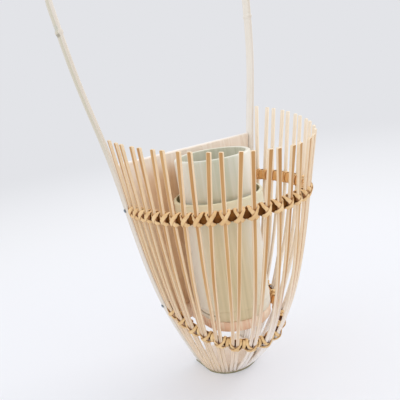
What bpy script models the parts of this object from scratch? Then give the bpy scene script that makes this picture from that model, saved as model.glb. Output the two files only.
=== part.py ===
"""Hanging bamboo flower vase: thirty split sticks lashed to two hoops round a flat
back board, a strip handle, and a water tube that lifts out of a holder ring.

X runs along the board to the viewer's right, +Y points to the wall behind the board
and +Z is up. The origin is the middle of the foot's underside."""
import math

import bmesh
import bpy
import numpy as np
from mathutils import Vector

# Driving sizes, in metres.
FIT_GAP = 0.0003
TUBE_SLIDE_GAP = 0.0007
LASHING_GAP = 0.0005
PEG_GAP = 0.0003

BACK_Y = 0.0112

FOOT_PLATE_HEIGHT = 0.0012
FOOT_PLATE_MARGIN = 0.0001
FOOT_BLOCK_HEIGHT = 0.0048
FOOT_STICK_RADIUS = 0.0216
FOOT_STICK_HALF_ANGLE = math.radians(105.2)

STICK_COUNT = 30
STICK_FOOT_WIDTH = 0.0020
STICK_LOWER_WIDTH = 0.0021
STICK_UPPER_WIDTH = 0.0026
STICK_TOP_WIDTH = 0.0028
STICK_FOOT_DEPTH = 0.0017
STICK_TOP_DEPTH = 0.0018
STICK_EDGE = 0.0005
PAIR_HALF_SPACING = 0.0015
PAIR_LEAD = 0.0094
UPPER_SHIFT = 0.0011
LOWER_LEAN = 0.0011
LOWER_LEAN_CENTRE_SHARE = 0.36
LOWER_LEAN_WIDTH_SHARE = 0.17
TOP_SPREAD = 0.0010
TOP_LEAD_SHARE = 0.035
TOP_LEAD_FADE_SHARE = 0.23
TOP_LEAN_SHARE = 0.037
TOP_LEAN_CENTRE_SHARE = 0.57
TOP_LEAN_WIDTH_SHARE = 0.11

LOWER_HALF_WIDTH = 0.0406
LOWER_DEPTH = 0.0598
LOWER_CENTRE_FORWARD = 0.0040
LOWER_ROUNDNESS_SHARE = 2.073
LOWER_HEIGHT = 0.0580
LOWER_TILT_SHARE = 0.352

UPPER_HALF_WIDTH = 0.0557
UPPER_DEPTH = 0.0755
UPPER_CENTRE_FORWARD = 0.0210
UPPER_ROUNDNESS_SHARE = 2.212
UPPER_HEIGHT = 0.1360
UPPER_TILT_SHARE = -0.021

TOP_HALF_WIDTH = 0.0639
TOP_DEPTH = 0.0906
TOP_CENTRE_FORWARD = 0.0209
TOP_ROUNDNESS_SHARE = 1.773
TOP_HEIGHT = 0.1889
TOP_TILT_SHARE = 0.140

HOOP_THICKNESS = 0.0024
HOOP_HEIGHT = 0.0055
HOOP_EDGE = 0.0007
HOOP_GAP = 0.0007
HOOP_END_INSET = 0.0014
HOOP_ZONE = 0.0050

STRAND_WIDTH = 0.0013
STRAND_THICKNESS = 0.0007
UPPER_STRAND_REACH = 0.00295
UPPER_STRAND_SHOULDER = 0.0023
LOWER_STRAND_REACH = 0.0044
LOWER_STRAND_SHOULDER = 0.0037
STRAND_SHOULDER_HEIGHT = 0.0023
STRAND_CORNER_OUT = 0.0003
STRAND_CORNER_IN = 0.0007
STRAND_TURN_OUT_SHARE = 0.3
STRAND_TURN_IN_SHARE = 0.5

HANDLE_THICKNESS = 0.0024
HANDLE_WIDTH = 0.0070
HANDLE_EDGE = 0.0005
HANDLE_FOOT_HALF_WIDTH = 0.0206
HANDLE_NECK_HALF_WIDTH = 0.0591
HANDLE_NECK_HEIGHT = 0.1690
HANDLE_MIDDLE_HALF_WIDTH = 0.0692
HANDLE_MIDDLE_HEIGHT = 0.2240
HANDLE_SHOULDER_HALF_WIDTH = 0.0740
HANDLE_SHOULDER_HEIGHT = 0.2700
HANDLE_ARCH_RISE = 0.0920
HANDLE_ARCH_ROUNDNESS_SHARE = 2.15
HANDLE_SIDE_SHIFT = 0.0023
HANDLE_NODE_HEIGHT = 0.2540
HANDLE_NODE_SWELL = 0.0005
HANDLE_NODE_LENGTH = 0.0030
HANDLE_NODE_CLEAR = 0.0045

BOARD_THICKNESS = 0.0035
BOARD_BOTTOM_HEIGHT = 0.0400
BOARD_TOP_HEIGHT = 0.1682
BOARD_BEVEL = 0.0013

TUBE_RADIUS = 0.0260
TUBE_WALL = 0.0033
TUBE_HEIGHT = 0.1120
TUBE_FLOOR = 0.0060
TUBE_BASE_HEIGHT = 0.0530
TUBE_AXIS_FORWARD = 0.0310
TUBE_EDGE = 0.0006
TUBE_NODE_HEIGHT = 0.0080
TUBE_NODE_SWELL = 0.0003
TUBE_NODE_HALF = 0.0012

RING_WALL = 0.0040
RING_BOTTOM_HEIGHT = 0.1260
RING_TOP_HEIGHT = 0.1380
RING_EDGE = 0.0005

SHELF_THICKNESS = 0.0074
SHELF_RADIUS = 0.0253
SHELF_EDGE = 0.0006

NAIL_RADIUS = 0.0006
NAIL_HEAD_RADIUS = 0.0013
NAIL_HEAD_HEIGHT = 0.0007
NAIL_LENGTH = 0.0080
NAIL_BACK_OFFSET = 0.0015

PEG_RADIUS = 0.0011
SHELF_PEG_LENGTH = 0.0130
SHELF_PEG_HALF_SPACING = 0.0140
RING_PEG_LENGTH = 0.0058

# Counts of facets and stations.
CURVE_SAMPLES = 400
HOOP_STATIONS = 46
ARCH_STATIONS = 22
LEG_STATIONS = 14
ROUND_SIDES = 40
PEG_SIDES = 10

PLACE_COUNT = STICK_COUNT + 1
TUBE_AXIS_Y = BACK_Y - TUBE_AXIS_FORWARD


def remove_everything():
    for item in list(bpy.data.objects):
        bpy.data.objects.remove(item, do_unlink=True)


def make_material(name, colour, roughness, metallic=0.0):
    material = bpy.data.materials.new(name)
    material.use_nodes = True
    shader = material.node_tree.nodes["Principled BSDF"]
    shader.inputs["Base Color"].default_value = (*colour, 1.0)
    shader.inputs["Roughness"].default_value = roughness
    shader.inputs["Metallic"].default_value = metallic
    return material


def make_object(name, body, material, origin=(0.0, 0.0, 0.0), smooth=False):
    """One object from the vertices and faces of a body given in world space."""
    vertices, faces = body
    builder = bmesh.new()
    made = [builder.verts.new(Vector(v) - Vector(origin)) for v in vertices]
    for face in faces:
        builder.faces.new([made[i] for i in face])
    bmesh.ops.recalc_face_normals(builder, faces=builder.faces)
    mesh = bpy.data.meshes.new(name)
    builder.to_mesh(mesh)
    builder.free()
    mesh.materials.append(material)
    for polygon in mesh.polygons:
        polygon.use_smooth = smooth
    item = bpy.data.objects.new(name, mesh)
    item.location = origin
    bpy.context.scene.collection.objects.link(item)
    return item


def cut_holes(item, cutters):
    """Take each cutter body out of the object and keep one clean mesh."""
    for vertices, faces in cutters:
        cutter = make_object("cutter", (vertices, faces), item.data.materials[0])
        cutter.hide_render = True
        cutter.display_type = "WIRE"
        modifier = item.modifiers.new("hole", "BOOLEAN")
        modifier.operation = "DIFFERENCE"
        modifier.solver = "EXACT"
        modifier.object = cutter
        graph = bpy.context.evaluated_depsgraph_get()
        graph.update()
        mesh = bpy.data.meshes.new_from_object(item.evaluated_get(graph))
        item.modifiers.clear()
        item.data = mesh
        bpy.data.objects.remove(cutter, do_unlink=True)


def sweep(loops):
    """A closed body from a row of equal rings of points, with flat ends."""
    vertices = [point for loop in loops for point in loop]
    count = len(loops[0])
    faces = []
    for row in range(len(loops) - 1):
        for i in range(count):
            j = (i + 1) % count
            low = row * count
            high = low + count
            faces.append((low + i, low + j, high + j, high + i))
    faces.append(tuple(range(count - 1, -1, -1)))
    last = (len(loops) - 1) * count
    faces.append(tuple(last + i for i in range(count)))
    return vertices, faces


def lathe(profile, centre, sides, axis_matrix=None):
    """A closed body turned from (radius, height) pairs; radius zero makes a pole."""
    vertices = []
    rows = []
    for radius, height in profile:
        if radius == 0:
            rows.append([len(vertices)])
            vertices.append(Vector((0.0, 0.0, height)))
            continue
        row = []
        for i in range(sides):
            angle = 2 * math.pi * i / sides
            row.append(len(vertices))
            vertices.append(Vector((radius * math.cos(angle), radius * math.sin(angle), height)))
        rows.append(row)
    faces = []
    closed = rows if len(rows[0]) == 1 else rows + [rows[0]]
    for low, high in zip(closed[:-1], closed[1:]):
        for i in range(sides):
            j = (i + 1) % sides
            if len(low) == 1:
                faces.append((low[0], high[i], high[j]))
            elif len(high) == 1:
                faces.append((low[i], low[j], high[0]))
            else:
                faces.append((low[i], low[j], high[j], high[i]))
    if axis_matrix is not None:
        vertices = [axis_matrix @ v for v in vertices]
    return [v + Vector(centre) for v in vertices], faces


def rod(start, direction, length, radius):
    """A plain round rod from a start point along a direction."""
    turn = Vector(direction).to_track_quat("Z", "Y").to_matrix()
    profile = [(0, 0), (radius, 0), (radius, length), (0, length)]
    return lathe(profile, start, PEG_SIDES, turn)


def unit(vector):
    return vector / np.linalg.norm(vector)


def bar_section(width, depth, edge):
    """Corners of a bar, eight-sided; first value along the side, second outward."""
    w = width / 2
    d = depth / 2
    return [(-w, -d + edge), (-w + edge, -d), (w - edge, -d), (w, -d + edge),
            (w, d - edge), (w - edge, d), (-w + edge, d), (-w, d - edge)]


def stick_section(width, depth, edge):
    """Corners of a split stick: square inside, eased edges on the outer skin."""
    w = width / 2
    d = depth / 2
    return [(-w, -d), (w, -d), (w, d - edge), (w - edge, d), (-w + edge, d), (-w, d - edge)]


def place_section(section, centre, side, outward):
    return [Vector(centre + side * a + outward * b) for a, b in section]


class PlanCurve:
    """A horseshoe in plan, from its left end on the back plane round the front to its
    right end, on a plane that may tilt forward or back."""

    def __init__(self, half_width, depth, centre_forward, power, height, tilt_share):
        start = math.asin((centre_forward / depth) ** (power / 2))
        angles = np.linspace(-start, math.pi + start, CURVE_SAMPLES)
        cosines = np.cos(angles)
        sines = np.sin(angles)
        x = -half_width * np.sign(cosines) * np.abs(cosines) ** (2 / power)
        forward = centre_forward + depth * np.sign(sines) * np.abs(sines) ** (2 / power)
        height_at = height - tilt_share * forward
        self.points = np.stack([x, BACK_Y - forward, height_at], axis=1)
        steps = np.linalg.norm(np.diff(self.points, axis=0), axis=1)
        travelled = np.concatenate([[0.0], np.cumsum(steps)])
        self.length = float(travelled[-1])
        self.shares = travelled / self.length

    def at(self, share):
        return np.array([np.interp(share, self.shares, self.points[:, i]) for i in range(3)])


LOWER_CURVE = PlanCurve(LOWER_HALF_WIDTH, LOWER_DEPTH, LOWER_CENTRE_FORWARD,
                        LOWER_ROUNDNESS_SHARE, LOWER_HEIGHT, LOWER_TILT_SHARE)
UPPER_CURVE = PlanCurve(UPPER_HALF_WIDTH, UPPER_DEPTH, UPPER_CENTRE_FORWARD,
                        UPPER_ROUNDNESS_SHARE, UPPER_HEIGHT, UPPER_TILT_SHARE)
TOP_CURVE = PlanCurve(TOP_HALF_WIDTH, TOP_DEPTH, TOP_CENTRE_FORWARD,
                      TOP_ROUNDNESS_SHARE, TOP_HEIGHT, TOP_TILT_SHARE)


class Spline:
    """A natural cubic curve through a few points, by the straight length between them."""

    def __init__(self, points):
        self.points = np.array(points, dtype=float)
        steps = np.linalg.norm(np.diff(self.points, axis=0), axis=1)
        self.knots = np.concatenate([[0.0], np.cumsum(steps)])
        count = len(self.points)
        matrix = np.eye(count)
        right = np.zeros_like(self.points)
        for i in range(1, count - 1):
            before = steps[i - 1]
            after = steps[i]
            matrix[i, i - 1] = before
            matrix[i, i] = 2 * (before + after)
            matrix[i, i + 1] = after
            slope_after = (self.points[i + 1] - self.points[i]) / after
            slope_before = (self.points[i] - self.points[i - 1]) / before
            right[i] = 6 * (slope_after - slope_before)
        self.bends = np.linalg.solve(matrix, right)

    def at(self, where):
        i = int(np.clip(np.searchsorted(self.knots, where) - 1, 0, len(self.knots) - 2))
        span = self.knots[i + 1] - self.knots[i]
        a = (self.knots[i + 1] - where) / span
        b = 1 - a
        bend = (a ** 3 - a) * self.bends[i] + (b ** 3 - b) * self.bends[i + 1]
        return a * self.points[i] + b * self.points[i + 1] + bend * span ** 2 / 6

    def direction(self, where):
        i = int(np.clip(np.searchsorted(self.knots, where) - 1, 0, len(self.knots) - 2))
        span = self.knots[i + 1] - self.knots[i]
        a = (self.knots[i + 1] - where) / span
        b = 1 - a
        bend = (3 * b * b - 1) * self.bends[i + 1] - (3 * a * a - 1) * self.bends[i]
        return unit((self.points[i + 1] - self.points[i]) / span + bend * span / 6)


def top_place(share):
    """Where along the top curve a stick ends: the left ones lean to the front and the
    front right ones lean to the left."""
    distance_share = (share - TOP_LEAN_CENTRE_SHARE) / TOP_LEAN_WIDTH_SHARE
    lead_share = TOP_LEAD_SHARE * math.exp(-share / TOP_LEAD_FADE_SHARE)
    return share + lead_share - TOP_LEAN_SHARE * math.exp(-distance_share ** 2)


def upper_place(index):
    """Share of the upper curve at the middle of a stick."""
    even_share = (index + 1) / PLACE_COUNT
    return even_share + UPPER_SHIFT / UPPER_CURVE.length * math.sin(math.pi * even_share)


def foot_point(share):
    angle = (2 * share - 1) * FOOT_STICK_HALF_ANGLE
    height = FOOT_PLATE_HEIGHT + FIT_GAP
    return np.array([FOOT_STICK_RADIUS * math.sin(angle), -FOOT_STICK_RADIUS * math.cos(angle),
                     height])


def wall_spline(foot_share, lower_share, upper_share, top_share):
    return Spline([foot_point(foot_share), LOWER_CURVE.at(lower_share),
                   UPPER_CURVE.at(upper_share), TOP_CURVE.at(top_share)])


def pair_place(pair):
    """Share of the lower curve at the middle of a pair of sticks."""
    lead_share = PAIR_LEAD / LOWER_CURVE.length
    even_share = lead_share + (1 - 2 * lead_share) * pair / (STICK_COUNT // 2 - 1)
    distance_share = (even_share - LOWER_LEAN_CENTRE_SHARE) / LOWER_LEAN_WIDTH_SHARE
    return even_share - LOWER_LEAN / LOWER_CURVE.length * math.exp(-distance_share ** 2)


def stick_spline(index, shift_share=0.0):
    """The middle line of one stick; the pair stands together at the lower hoop."""
    side = -1 if index % 2 == 0 else 1
    even_share = (index + 1) / PLACE_COUNT
    pair_share = pair_place(index // 2)
    upper_share = upper_place(index)
    foot_share = index / (STICK_COUNT - 1)
    lower_share = pair_share + side * PAIR_HALF_SPACING / LOWER_CURVE.length
    top_share = top_place(even_share) + side * TOP_SPREAD / TOP_CURVE.length
    return wall_spline(foot_share + shift_share, lower_share + shift_share,
                       upper_share + shift_share, top_share + shift_share)


def wall_directions(knot):
    """Upward direction of the wall of sticks at a hoop, one row for each pair."""
    rows = []
    for pair in range(STICK_COUNT // 2):
        directions = []
        for index in (2 * pair, 2 * pair + 1):
            spline = stick_spline(index)
            directions.append(spline.direction(spline.knots[knot]))
        rows.append(unit(directions[0] + directions[1]))
    return np.array(rows)


LOWER_DIRECTIONS = wall_directions(1)
UPPER_DIRECTIONS = wall_directions(2)


def wall_frame(curve, share):
    """Point on a hoop's curve with the directions along it, outward and up the wall,
    and the direction that the sticks themselves take there."""
    step_share = 0.5 / CURVE_SAMPLES
    pair_count = STICK_COUNT // 2
    if curve is LOWER_CURVE:
        directions = LOWER_DIRECTIONS
        pair_shares = [pair_place(i) for i in range(pair_count)]
    else:
        directions = UPPER_DIRECTIONS
        pair_shares = [(upper_place(2 * i) + upper_place(2 * i + 1)) / 2 for i in range(pair_count)]
    stick_way = unit(np.array([np.interp(share, pair_shares, directions[:, i]) for i in range(3)]))
    before = curve.at(max(share - step_share, 0.0))
    after = curve.at(min(share + step_share, 1.0))
    along = unit(after - before)
    outward = unit(np.cross(along, stick_way))
    return curve.at(share), along, outward, np.cross(outward, along), stick_way


def build_stick(index, material):
    spline = stick_spline(index)
    step_share = 0.002
    left = stick_spline(index, -step_share)
    right = stick_spline(index, step_share)
    foot, lower, upper, top = spline.knots
    places = list(np.linspace(foot, lower - HOOP_ZONE, 4))
    places += [lower]
    places += list(np.linspace(lower + HOOP_ZONE, upper - HOOP_ZONE, 5))
    places += [upper]
    places += list(np.linspace(upper + HOOP_ZONE, top, 3))
    widths = (STICK_FOOT_WIDTH, STICK_LOWER_WIDTH, STICK_UPPER_WIDTH, STICK_TOP_WIDTH)
    depths = (STICK_FOOT_DEPTH, STICK_TOP_DEPTH, STICK_TOP_DEPTH, STICK_TOP_DEPTH)
    loops = []
    for place in places:
        centre = spline.at(place)
        share = place / top
        across = right.at(share * right.knots[-1]) - left.at(share * left.knots[-1])
        upward = spline.direction(place)
        if place == foot:
            angle = (2 * index / (STICK_COUNT - 1) - 1) * FOOT_STICK_HALF_ANGLE
            outward = np.array([math.sin(angle), -math.cos(angle), 0.0])
            side = np.array([math.cos(angle), math.sin(angle), 0.0])
        else:
            outward = unit(np.cross(across, upward))
            side = np.cross(upward, outward)
        width = np.interp(place, spline.knots, widths)
        depth = np.interp(place, spline.knots, depths)
        loops.append(place_section(stick_section(width, depth, STICK_EDGE), centre, side, outward))
    name = "stick_%02d" % (index + 1)
    return make_object(name, sweep(loops), material, tuple(spline.at(foot)))


def hoop_offset():
    return STICK_TOP_DEPTH / 2 + HOOP_GAP + HOOP_THICKNESS / 2


def build_hoop(name, curve, material):
    inset_share = HOOP_END_INSET / curve.length
    section = bar_section(HOOP_THICKNESS, HOOP_HEIGHT, HOOP_EDGE)
    loops = []
    for share in np.linspace(inset_share, 1 - inset_share, HOOP_STATIONS):
        centre, _, outward, upward, _ = wall_frame(curve, share)
        middle = centre - outward * hoop_offset()
        loops.append(place_section(section, middle, outward, upward))
    return make_object(name, sweep(loops), material, tuple(curve.at(0.5)))


def strand_stations(curve, centre_share, reach, shoulder, next_gap, rising):
    """One turn of a strand: over the stick or pair outside, then round the hoop inside."""
    half = STRAND_THICKNESS / 2
    hoop_outer = -STICK_TOP_DEPTH / 2 - HOOP_GAP
    hoop_inner = hoop_outer - HOOP_THICKNESS
    edge_height = HOOP_HEIGHT / 2 + LASHING_GAP + half
    near_layer = STICK_TOP_DEPTH / 2 + LASHING_GAP + half
    far_layer = near_layer + STRAND_THICKNESS + LASHING_GAP
    near_inside = hoop_inner - LASHING_GAP - half
    far_inside = near_inside - STRAND_THICKNESS - LASHING_GAP
    over = far_layer if rising else near_layer
    inside = near_inside if rising else far_inside
    up = 1 if rising else -1
    corner_out = hoop_outer + STRAND_CORNER_OUT
    corner_in = hoop_inner - STRAND_CORNER_IN if rising else far_inside
    out_share = STRAND_TURN_OUT_SHARE
    in_share = -STRAND_TURN_IN_SHARE
    rows = [(-reach, corner_out, -up * edge_height, out_share, -up),
            (-shoulder, over, -up * STRAND_SHOULDER_HEIGHT, 1, 0),
            (0, over, 0, 1, 0),
            (shoulder, over, up * STRAND_SHOULDER_HEIGHT, 1, 0),
            (reach, corner_out, up * edge_height, out_share, up),
            (reach, corner_in, up * edge_height, in_share, up),
            (next_gap / 2, inside, 0, -1, 0),
            (next_gap - reach, corner_in, -up * edge_height, in_share, -up)]
    stations = []
    for along_by, out_by, up_by, normal_out, normal_up in rows:
        share = centre_share + along_by / curve.length
        centre, _, outward, upward, stick_way = wall_frame(curve, share)
        point = centre + outward * out_by + stick_way * up_by
        stations.append((point, outward * normal_out + upward * normal_up))
    return stations


def strand_body(name, stations):
    points = np.array([point for point, _ in stations])
    half_width = STRAND_WIDTH / 2
    half_depth = STRAND_THICKNESS / 2
    section = [(-half_width, -half_depth), (half_width, -half_depth),
               (half_width, half_depth), (-half_width, half_depth)]
    loops = []
    for i, (point, normal) in enumerate(stations):
        before = points[max(i - 1, 0)]
        after = points[min(i + 1, len(points) - 1)]
        forward = unit(after - before)
        side = unit(np.cross(forward, normal))
        outward = np.cross(side, forward)
        loops.append(place_section(section, point, side, outward))
    print(name, "least gap to itself, mm:", round(least_gap(loops) * 1000, 2))
    return sweep(loops)


def least_gap(loops):
    """Least distance between edge points of turns that are not neighbours."""
    neighbour_count = 4
    corners = np.array([[list(corner) for corner in loop] for loop in loops])
    middles = (corners[1:] + corners[:-1]) / 2
    rows = np.concatenate([corners[:-1], middles], axis=1)
    least = math.inf
    for i in range(len(rows) - neighbour_count):
        rest = rows[i + neighbour_count:i + 4 * neighbour_count].reshape(-1, 3)
        if len(rest):
            distance = np.linalg.norm(rows[i][:, None, :] - rest[None], axis=2).min()
            least = min(least, distance)
    return least


def build_lashing(name, curve, rising, material):
    stations = []
    if curve is UPPER_CURVE:
        shares = [upper_place(i) for i in range(STICK_COUNT)]
        reach = UPPER_STRAND_REACH
        shoulder = UPPER_STRAND_SHOULDER
    else:
        shares = [pair_place(i) for i in range(STICK_COUNT // 2)]
        reach = LOWER_STRAND_REACH
        shoulder = LOWER_STRAND_SHOULDER
    gaps = [(b - a) * curve.length for a, b in zip(shares[:-1], shares[1:])]
    for share, gap in zip(shares, gaps + gaps[-1:]):
        stations += strand_stations(curve, share, reach, shoulder, gap, rising)
    stations = stations[:-2]
    return make_object(name, strand_body(name, stations), material, tuple(curve.at(0.5)))


def leg_spline():
    """Half of the handle's middle line, from the foot up to the arch's spring line."""
    knots = [(HANDLE_FOOT_HALF_WIDTH, FOOT_PLATE_HEIGHT + FIT_GAP),
             (abs(LOWER_CURVE.at(0.0)[0]) + FIT_GAP, LOWER_HEIGHT),
             (abs(UPPER_CURVE.at(0.0)[0]) + FIT_GAP, UPPER_HEIGHT),
             (HANDLE_NECK_HALF_WIDTH, HANDLE_NECK_HEIGHT),
             (HANDLE_MIDDLE_HALF_WIDTH, HANDLE_MIDDLE_HEIGHT),
             (HANDLE_SHOULDER_HALF_WIDTH, HANDLE_SHOULDER_HEIGHT)]
    return Spline([(x, BACK_Y, z) for x, z in knots])


LEG = leg_spline()


def leg_place_at_height(height):
    low = LEG.knots[0]
    high = LEG.knots[-1]
    for _ in range(40):
        middle = (low + high) / 2
        if LEG.at(middle)[2] < height:
            low = middle
        else:
            high = middle
    return low


def handle_path():
    """Points of the whole strip from the left foot over the arch to the right foot."""
    places = list(np.linspace(LEG.knots[0], LEG.knots[-1], LEG_STATIONS))
    node = leg_place_at_height(HANDLE_NODE_HEIGHT)
    nails = [leg_place_at_height(height) for height in (LOWER_HEIGHT, UPPER_HEIGHT)]
    for centre in [node] + nails:
        places = [p for p in places if abs(p - centre) > HANDLE_NODE_CLEAR]
        places += [centre - HANDLE_NODE_LENGTH, centre, centre + HANDLE_NODE_LENGTH]
    places.sort()
    leg = [LEG.at(place) for place in places]
    swell = [HANDLE_NODE_SWELL if place == node else 0.0 for place in places]
    arch = []
    for i in range(1, ARCH_STATIONS):
        angle = math.pi / 2 * i / ARCH_STATIONS
        power = 2 / HANDLE_ARCH_ROUNDNESS_SHARE
        x = HANDLE_SHOULDER_HALF_WIDTH * math.cos(angle) ** power
        z = HANDLE_SHOULDER_HEIGHT + HANDLE_ARCH_RISE * math.sin(angle) ** power
        arch.append(np.array([x, BACK_Y, z]))
    crown = np.array([0.0, BACK_Y, HANDLE_SHOULDER_HEIGHT + HANDLE_ARCH_RISE])
    right = leg + arch
    right_swell = swell + [0.0] * len(arch)
    left = [point * np.array([-1.0, 1.0, 1.0]) for point in right]
    points = left + [crown] + right[::-1]
    shifted = []
    for point in points:
        rise = point[2] - HANDLE_NECK_HEIGHT
        full = HANDLE_SHOULDER_HEIGHT - HANDLE_NECK_HEIGHT
        share = min(max(rise / full, 0.0), 1.0)
        shifted.append(point - np.array([HANDLE_SIDE_SHIFT * share * share, 0.0, 0.0]))
    return shifted, right_swell + [0.0] + right_swell[::-1]


def build_handle(material):
    points, swell = handle_path()
    back = np.array([0.0, 1.0, 0.0])
    last = len(points) - 1
    loops = []
    for i, point in enumerate(points):
        if i == 0 or i == last:
            forward = np.array([0.0, 0.0, 1.0 if i == 0 else -1.0])
        else:
            forward = unit(points[i + 1] - points[i - 1])
        outward = np.cross(forward, back) * -1
        section = bar_section(HANDLE_WIDTH + swell[i], HANDLE_THICKNESS + 2 * swell[i], HANDLE_EDGE)
        loops.append(place_section(section, point, back, outward))
    return make_object("handle", sweep(loops), material, (0.0, BACK_Y, 0.0))


def nail_frames():
    """Outer face point and inward direction of each leg nail."""
    frames = []
    for height in (LOWER_HEIGHT, UPPER_HEIGHT):
        place = leg_place_at_height(height)
        centre = LEG.at(place)
        upward = LEG.direction(place)
        outward = np.array([upward[2], 0.0, -upward[0]])
        surface = centre + outward * HANDLE_THICKNESS / 2
        surface[1] = BACK_Y + NAIL_BACK_OFFSET
        for mirror in (1.0, -1.0):
            flip = np.array([mirror, 1.0, 1.0])
            frames.append((surface * flip, -outward * flip))
    return frames


def nail_body(surface, inward):
    turn = Vector(inward).to_track_quat("Z", "Y").to_matrix()
    head = -FIT_GAP - NAIL_HEAD_HEIGHT
    profile = [(0, head), (NAIL_HEAD_RADIUS / 2, head),
               (NAIL_HEAD_RADIUS, head + NAIL_HEAD_HEIGHT / 2), (NAIL_HEAD_RADIUS, -FIT_GAP),
               (NAIL_RADIUS, -FIT_GAP), (NAIL_RADIUS, NAIL_LENGTH), (0, NAIL_LENGTH + NAIL_RADIUS)]
    return lathe(profile, surface, PEG_SIDES, turn)


def nail_holes():
    cutters = []
    for surface, inward in nail_frames():
        start = surface - inward * NAIL_HEAD_HEIGHT
        length = NAIL_HEAD_HEIGHT + NAIL_LENGTH + NAIL_RADIUS + PEG_GAP
        cutters.append(rod(start, inward, length, NAIL_RADIUS + PEG_GAP))
    return cutters


def shelf_middle_height():
    return TUBE_BASE_HEIGHT - FIT_GAP - SHELF_THICKNESS / 2


def ring_middle_height():
    return (RING_BOTTOM_HEIGHT + RING_TOP_HEIGHT) / 2


def peg_starts():
    """Ends of the pegs, flush with the back of the board, and their lengths."""
    back = BACK_Y + BOARD_THICKNESS
    shelf = [((side * SHELF_PEG_HALF_SPACING, back, shelf_middle_height()), SHELF_PEG_LENGTH)
             for side in (-1, 1)]
    ring = [((0.0, back, ring_middle_height()), RING_PEG_LENGTH)]
    return shelf, ring


def peg_holes(starts):
    cutters = []
    for start, length in starts:
        behind = (start[0], start[1] + PEG_RADIUS, start[2])
        cutters.append(rod(behind, (0, -1, 0), length + PEG_RADIUS + PEG_GAP, PEG_RADIUS + PEG_GAP))
    return cutters


def build_board(material):
    """Flat board between the legs, its edges following them, its top front edge eased."""
    rows = 9
    clearance = HANDLE_THICKNESS / 2 + FIT_GAP
    outline = []
    for height in np.linspace(BOARD_BOTTOM_HEIGHT, BOARD_TOP_HEIGHT, rows):
        place = leg_place_at_height(height)
        upward = LEG.direction(place)
        outline.append((LEG.at(place)[0] - clearance / upward[2] - FIT_GAP, height))
    loops = []
    for depth, lowered in ((0.0, BOARD_BEVEL), (BOARD_BEVEL, 0.0), (BOARD_THICKNESS, 0.0)):
        right = [(x, z) for x, z in outline]
        right[-1] = (right[-1][0], right[-1][1] - lowered)
        left = [(-x, z) for x, z in right[::-1]]
        loops.append([Vector((x, BACK_Y + depth, z)) for x, z in right + left])
    origin = (0.0, BACK_Y, BOARD_BOTTOM_HEIGHT)
    board = make_object("back_board", sweep(loops), material, origin)
    shelf, ring = peg_starts()
    cut_holes(board, peg_holes(shelf + ring) + nail_holes())
    return board


def half_round_outline(radius, side_x, centre_y, back_y, arc_sides):
    """Plan of a piece with a round front and a straight back, starting back right."""
    start = -math.acos(min(side_x / radius, 1.0))
    end = -math.pi - start
    outline = [(side_x, back_y)]
    for i in range(arc_sides + 1):
        angle = start + (end - start) * i / arc_sides
        outline.append((radius * math.cos(angle), centre_y + radius * math.sin(angle)))
    outline.append((-side_x, back_y))
    return outline


def slab(outline, heights_and_insets, centre):
    """A flat piece whose outline draws in by an inset at each height."""
    loops = []
    for height, inset in heights_and_insets:
        loop = []
        for x, y in outline:
            toward = Vector((centre[0] - x, centre[1] - y, 0.0)).normalized()
            loop.append(Vector((x, y, height)) + toward * inset)
        loops.append(loop)
    return sweep(loops)


def build_shelf(material):
    bottom = TUBE_BASE_HEIGHT - FIT_GAP - SHELF_THICKNESS
    top = TUBE_BASE_HEIGHT - FIT_GAP
    outline = half_round_outline(SHELF_RADIUS, SHELF_RADIUS, TUBE_AXIS_Y, BACK_Y - FIT_GAP,
                                 ROUND_SIDES // 2)
    steps = [(bottom, SHELF_EDGE), (bottom + SHELF_EDGE, 0.0),
             (top - SHELF_EDGE, 0.0), (top, SHELF_EDGE)]
    body = slab(outline, steps, (0.0, TUBE_AXIS_Y))
    shelf = make_object("tube_shelf", body, material, (0.0, TUBE_AXIS_Y, bottom))
    shelf_pegs, _ = peg_starts()
    cut_holes(shelf, peg_holes(shelf_pegs))
    return shelf


def build_ring(material):
    inner = TUBE_RADIUS + TUBE_SLIDE_GAP
    outer = inner + RING_WALL
    low = RING_BOTTOM_HEIGHT
    high = RING_TOP_HEIGHT
    profile = [(outer, low), (outer, high - RING_EDGE), (outer - RING_EDGE, high),
               (inner + RING_EDGE, high), (inner, high - RING_EDGE), (inner, low)]
    body = lathe(profile, (0.0, TUBE_AXIS_Y, 0.0), ROUND_SIDES)
    ring = make_object("tube_ring", body, material, (0.0, TUBE_AXIS_Y, low), smooth=True)
    _, ring_pegs = peg_starts()
    cut_holes(ring, peg_holes(ring_pegs))
    return ring


def build_tube(material):
    """Length of culm with its own node as the floor and an open, eased mouth."""
    outer = TUBE_RADIUS
    inner = TUBE_RADIUS - TUBE_WALL
    node = TUBE_NODE_HEIGHT
    profile = [(0, 0), (outer - TUBE_EDGE, 0), (outer, TUBE_EDGE),
               (outer, node - TUBE_NODE_HALF), (outer + TUBE_NODE_SWELL, node),
               (outer, node + TUBE_NODE_HALF), (outer, TUBE_HEIGHT - TUBE_EDGE),
               (outer - TUBE_EDGE, TUBE_HEIGHT), (inner + TUBE_EDGE, TUBE_HEIGHT),
               (inner, TUBE_HEIGHT - TUBE_EDGE), (inner, TUBE_FLOOR + TUBE_EDGE),
               (inner - TUBE_EDGE, TUBE_FLOOR), (0, TUBE_FLOOR)]
    origin = (0.0, TUBE_AXIS_Y, TUBE_BASE_HEIGHT)
    body = lathe(profile, origin, ROUND_SIDES)
    return make_object("water_tube", body, material, origin, smooth=True)


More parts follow.
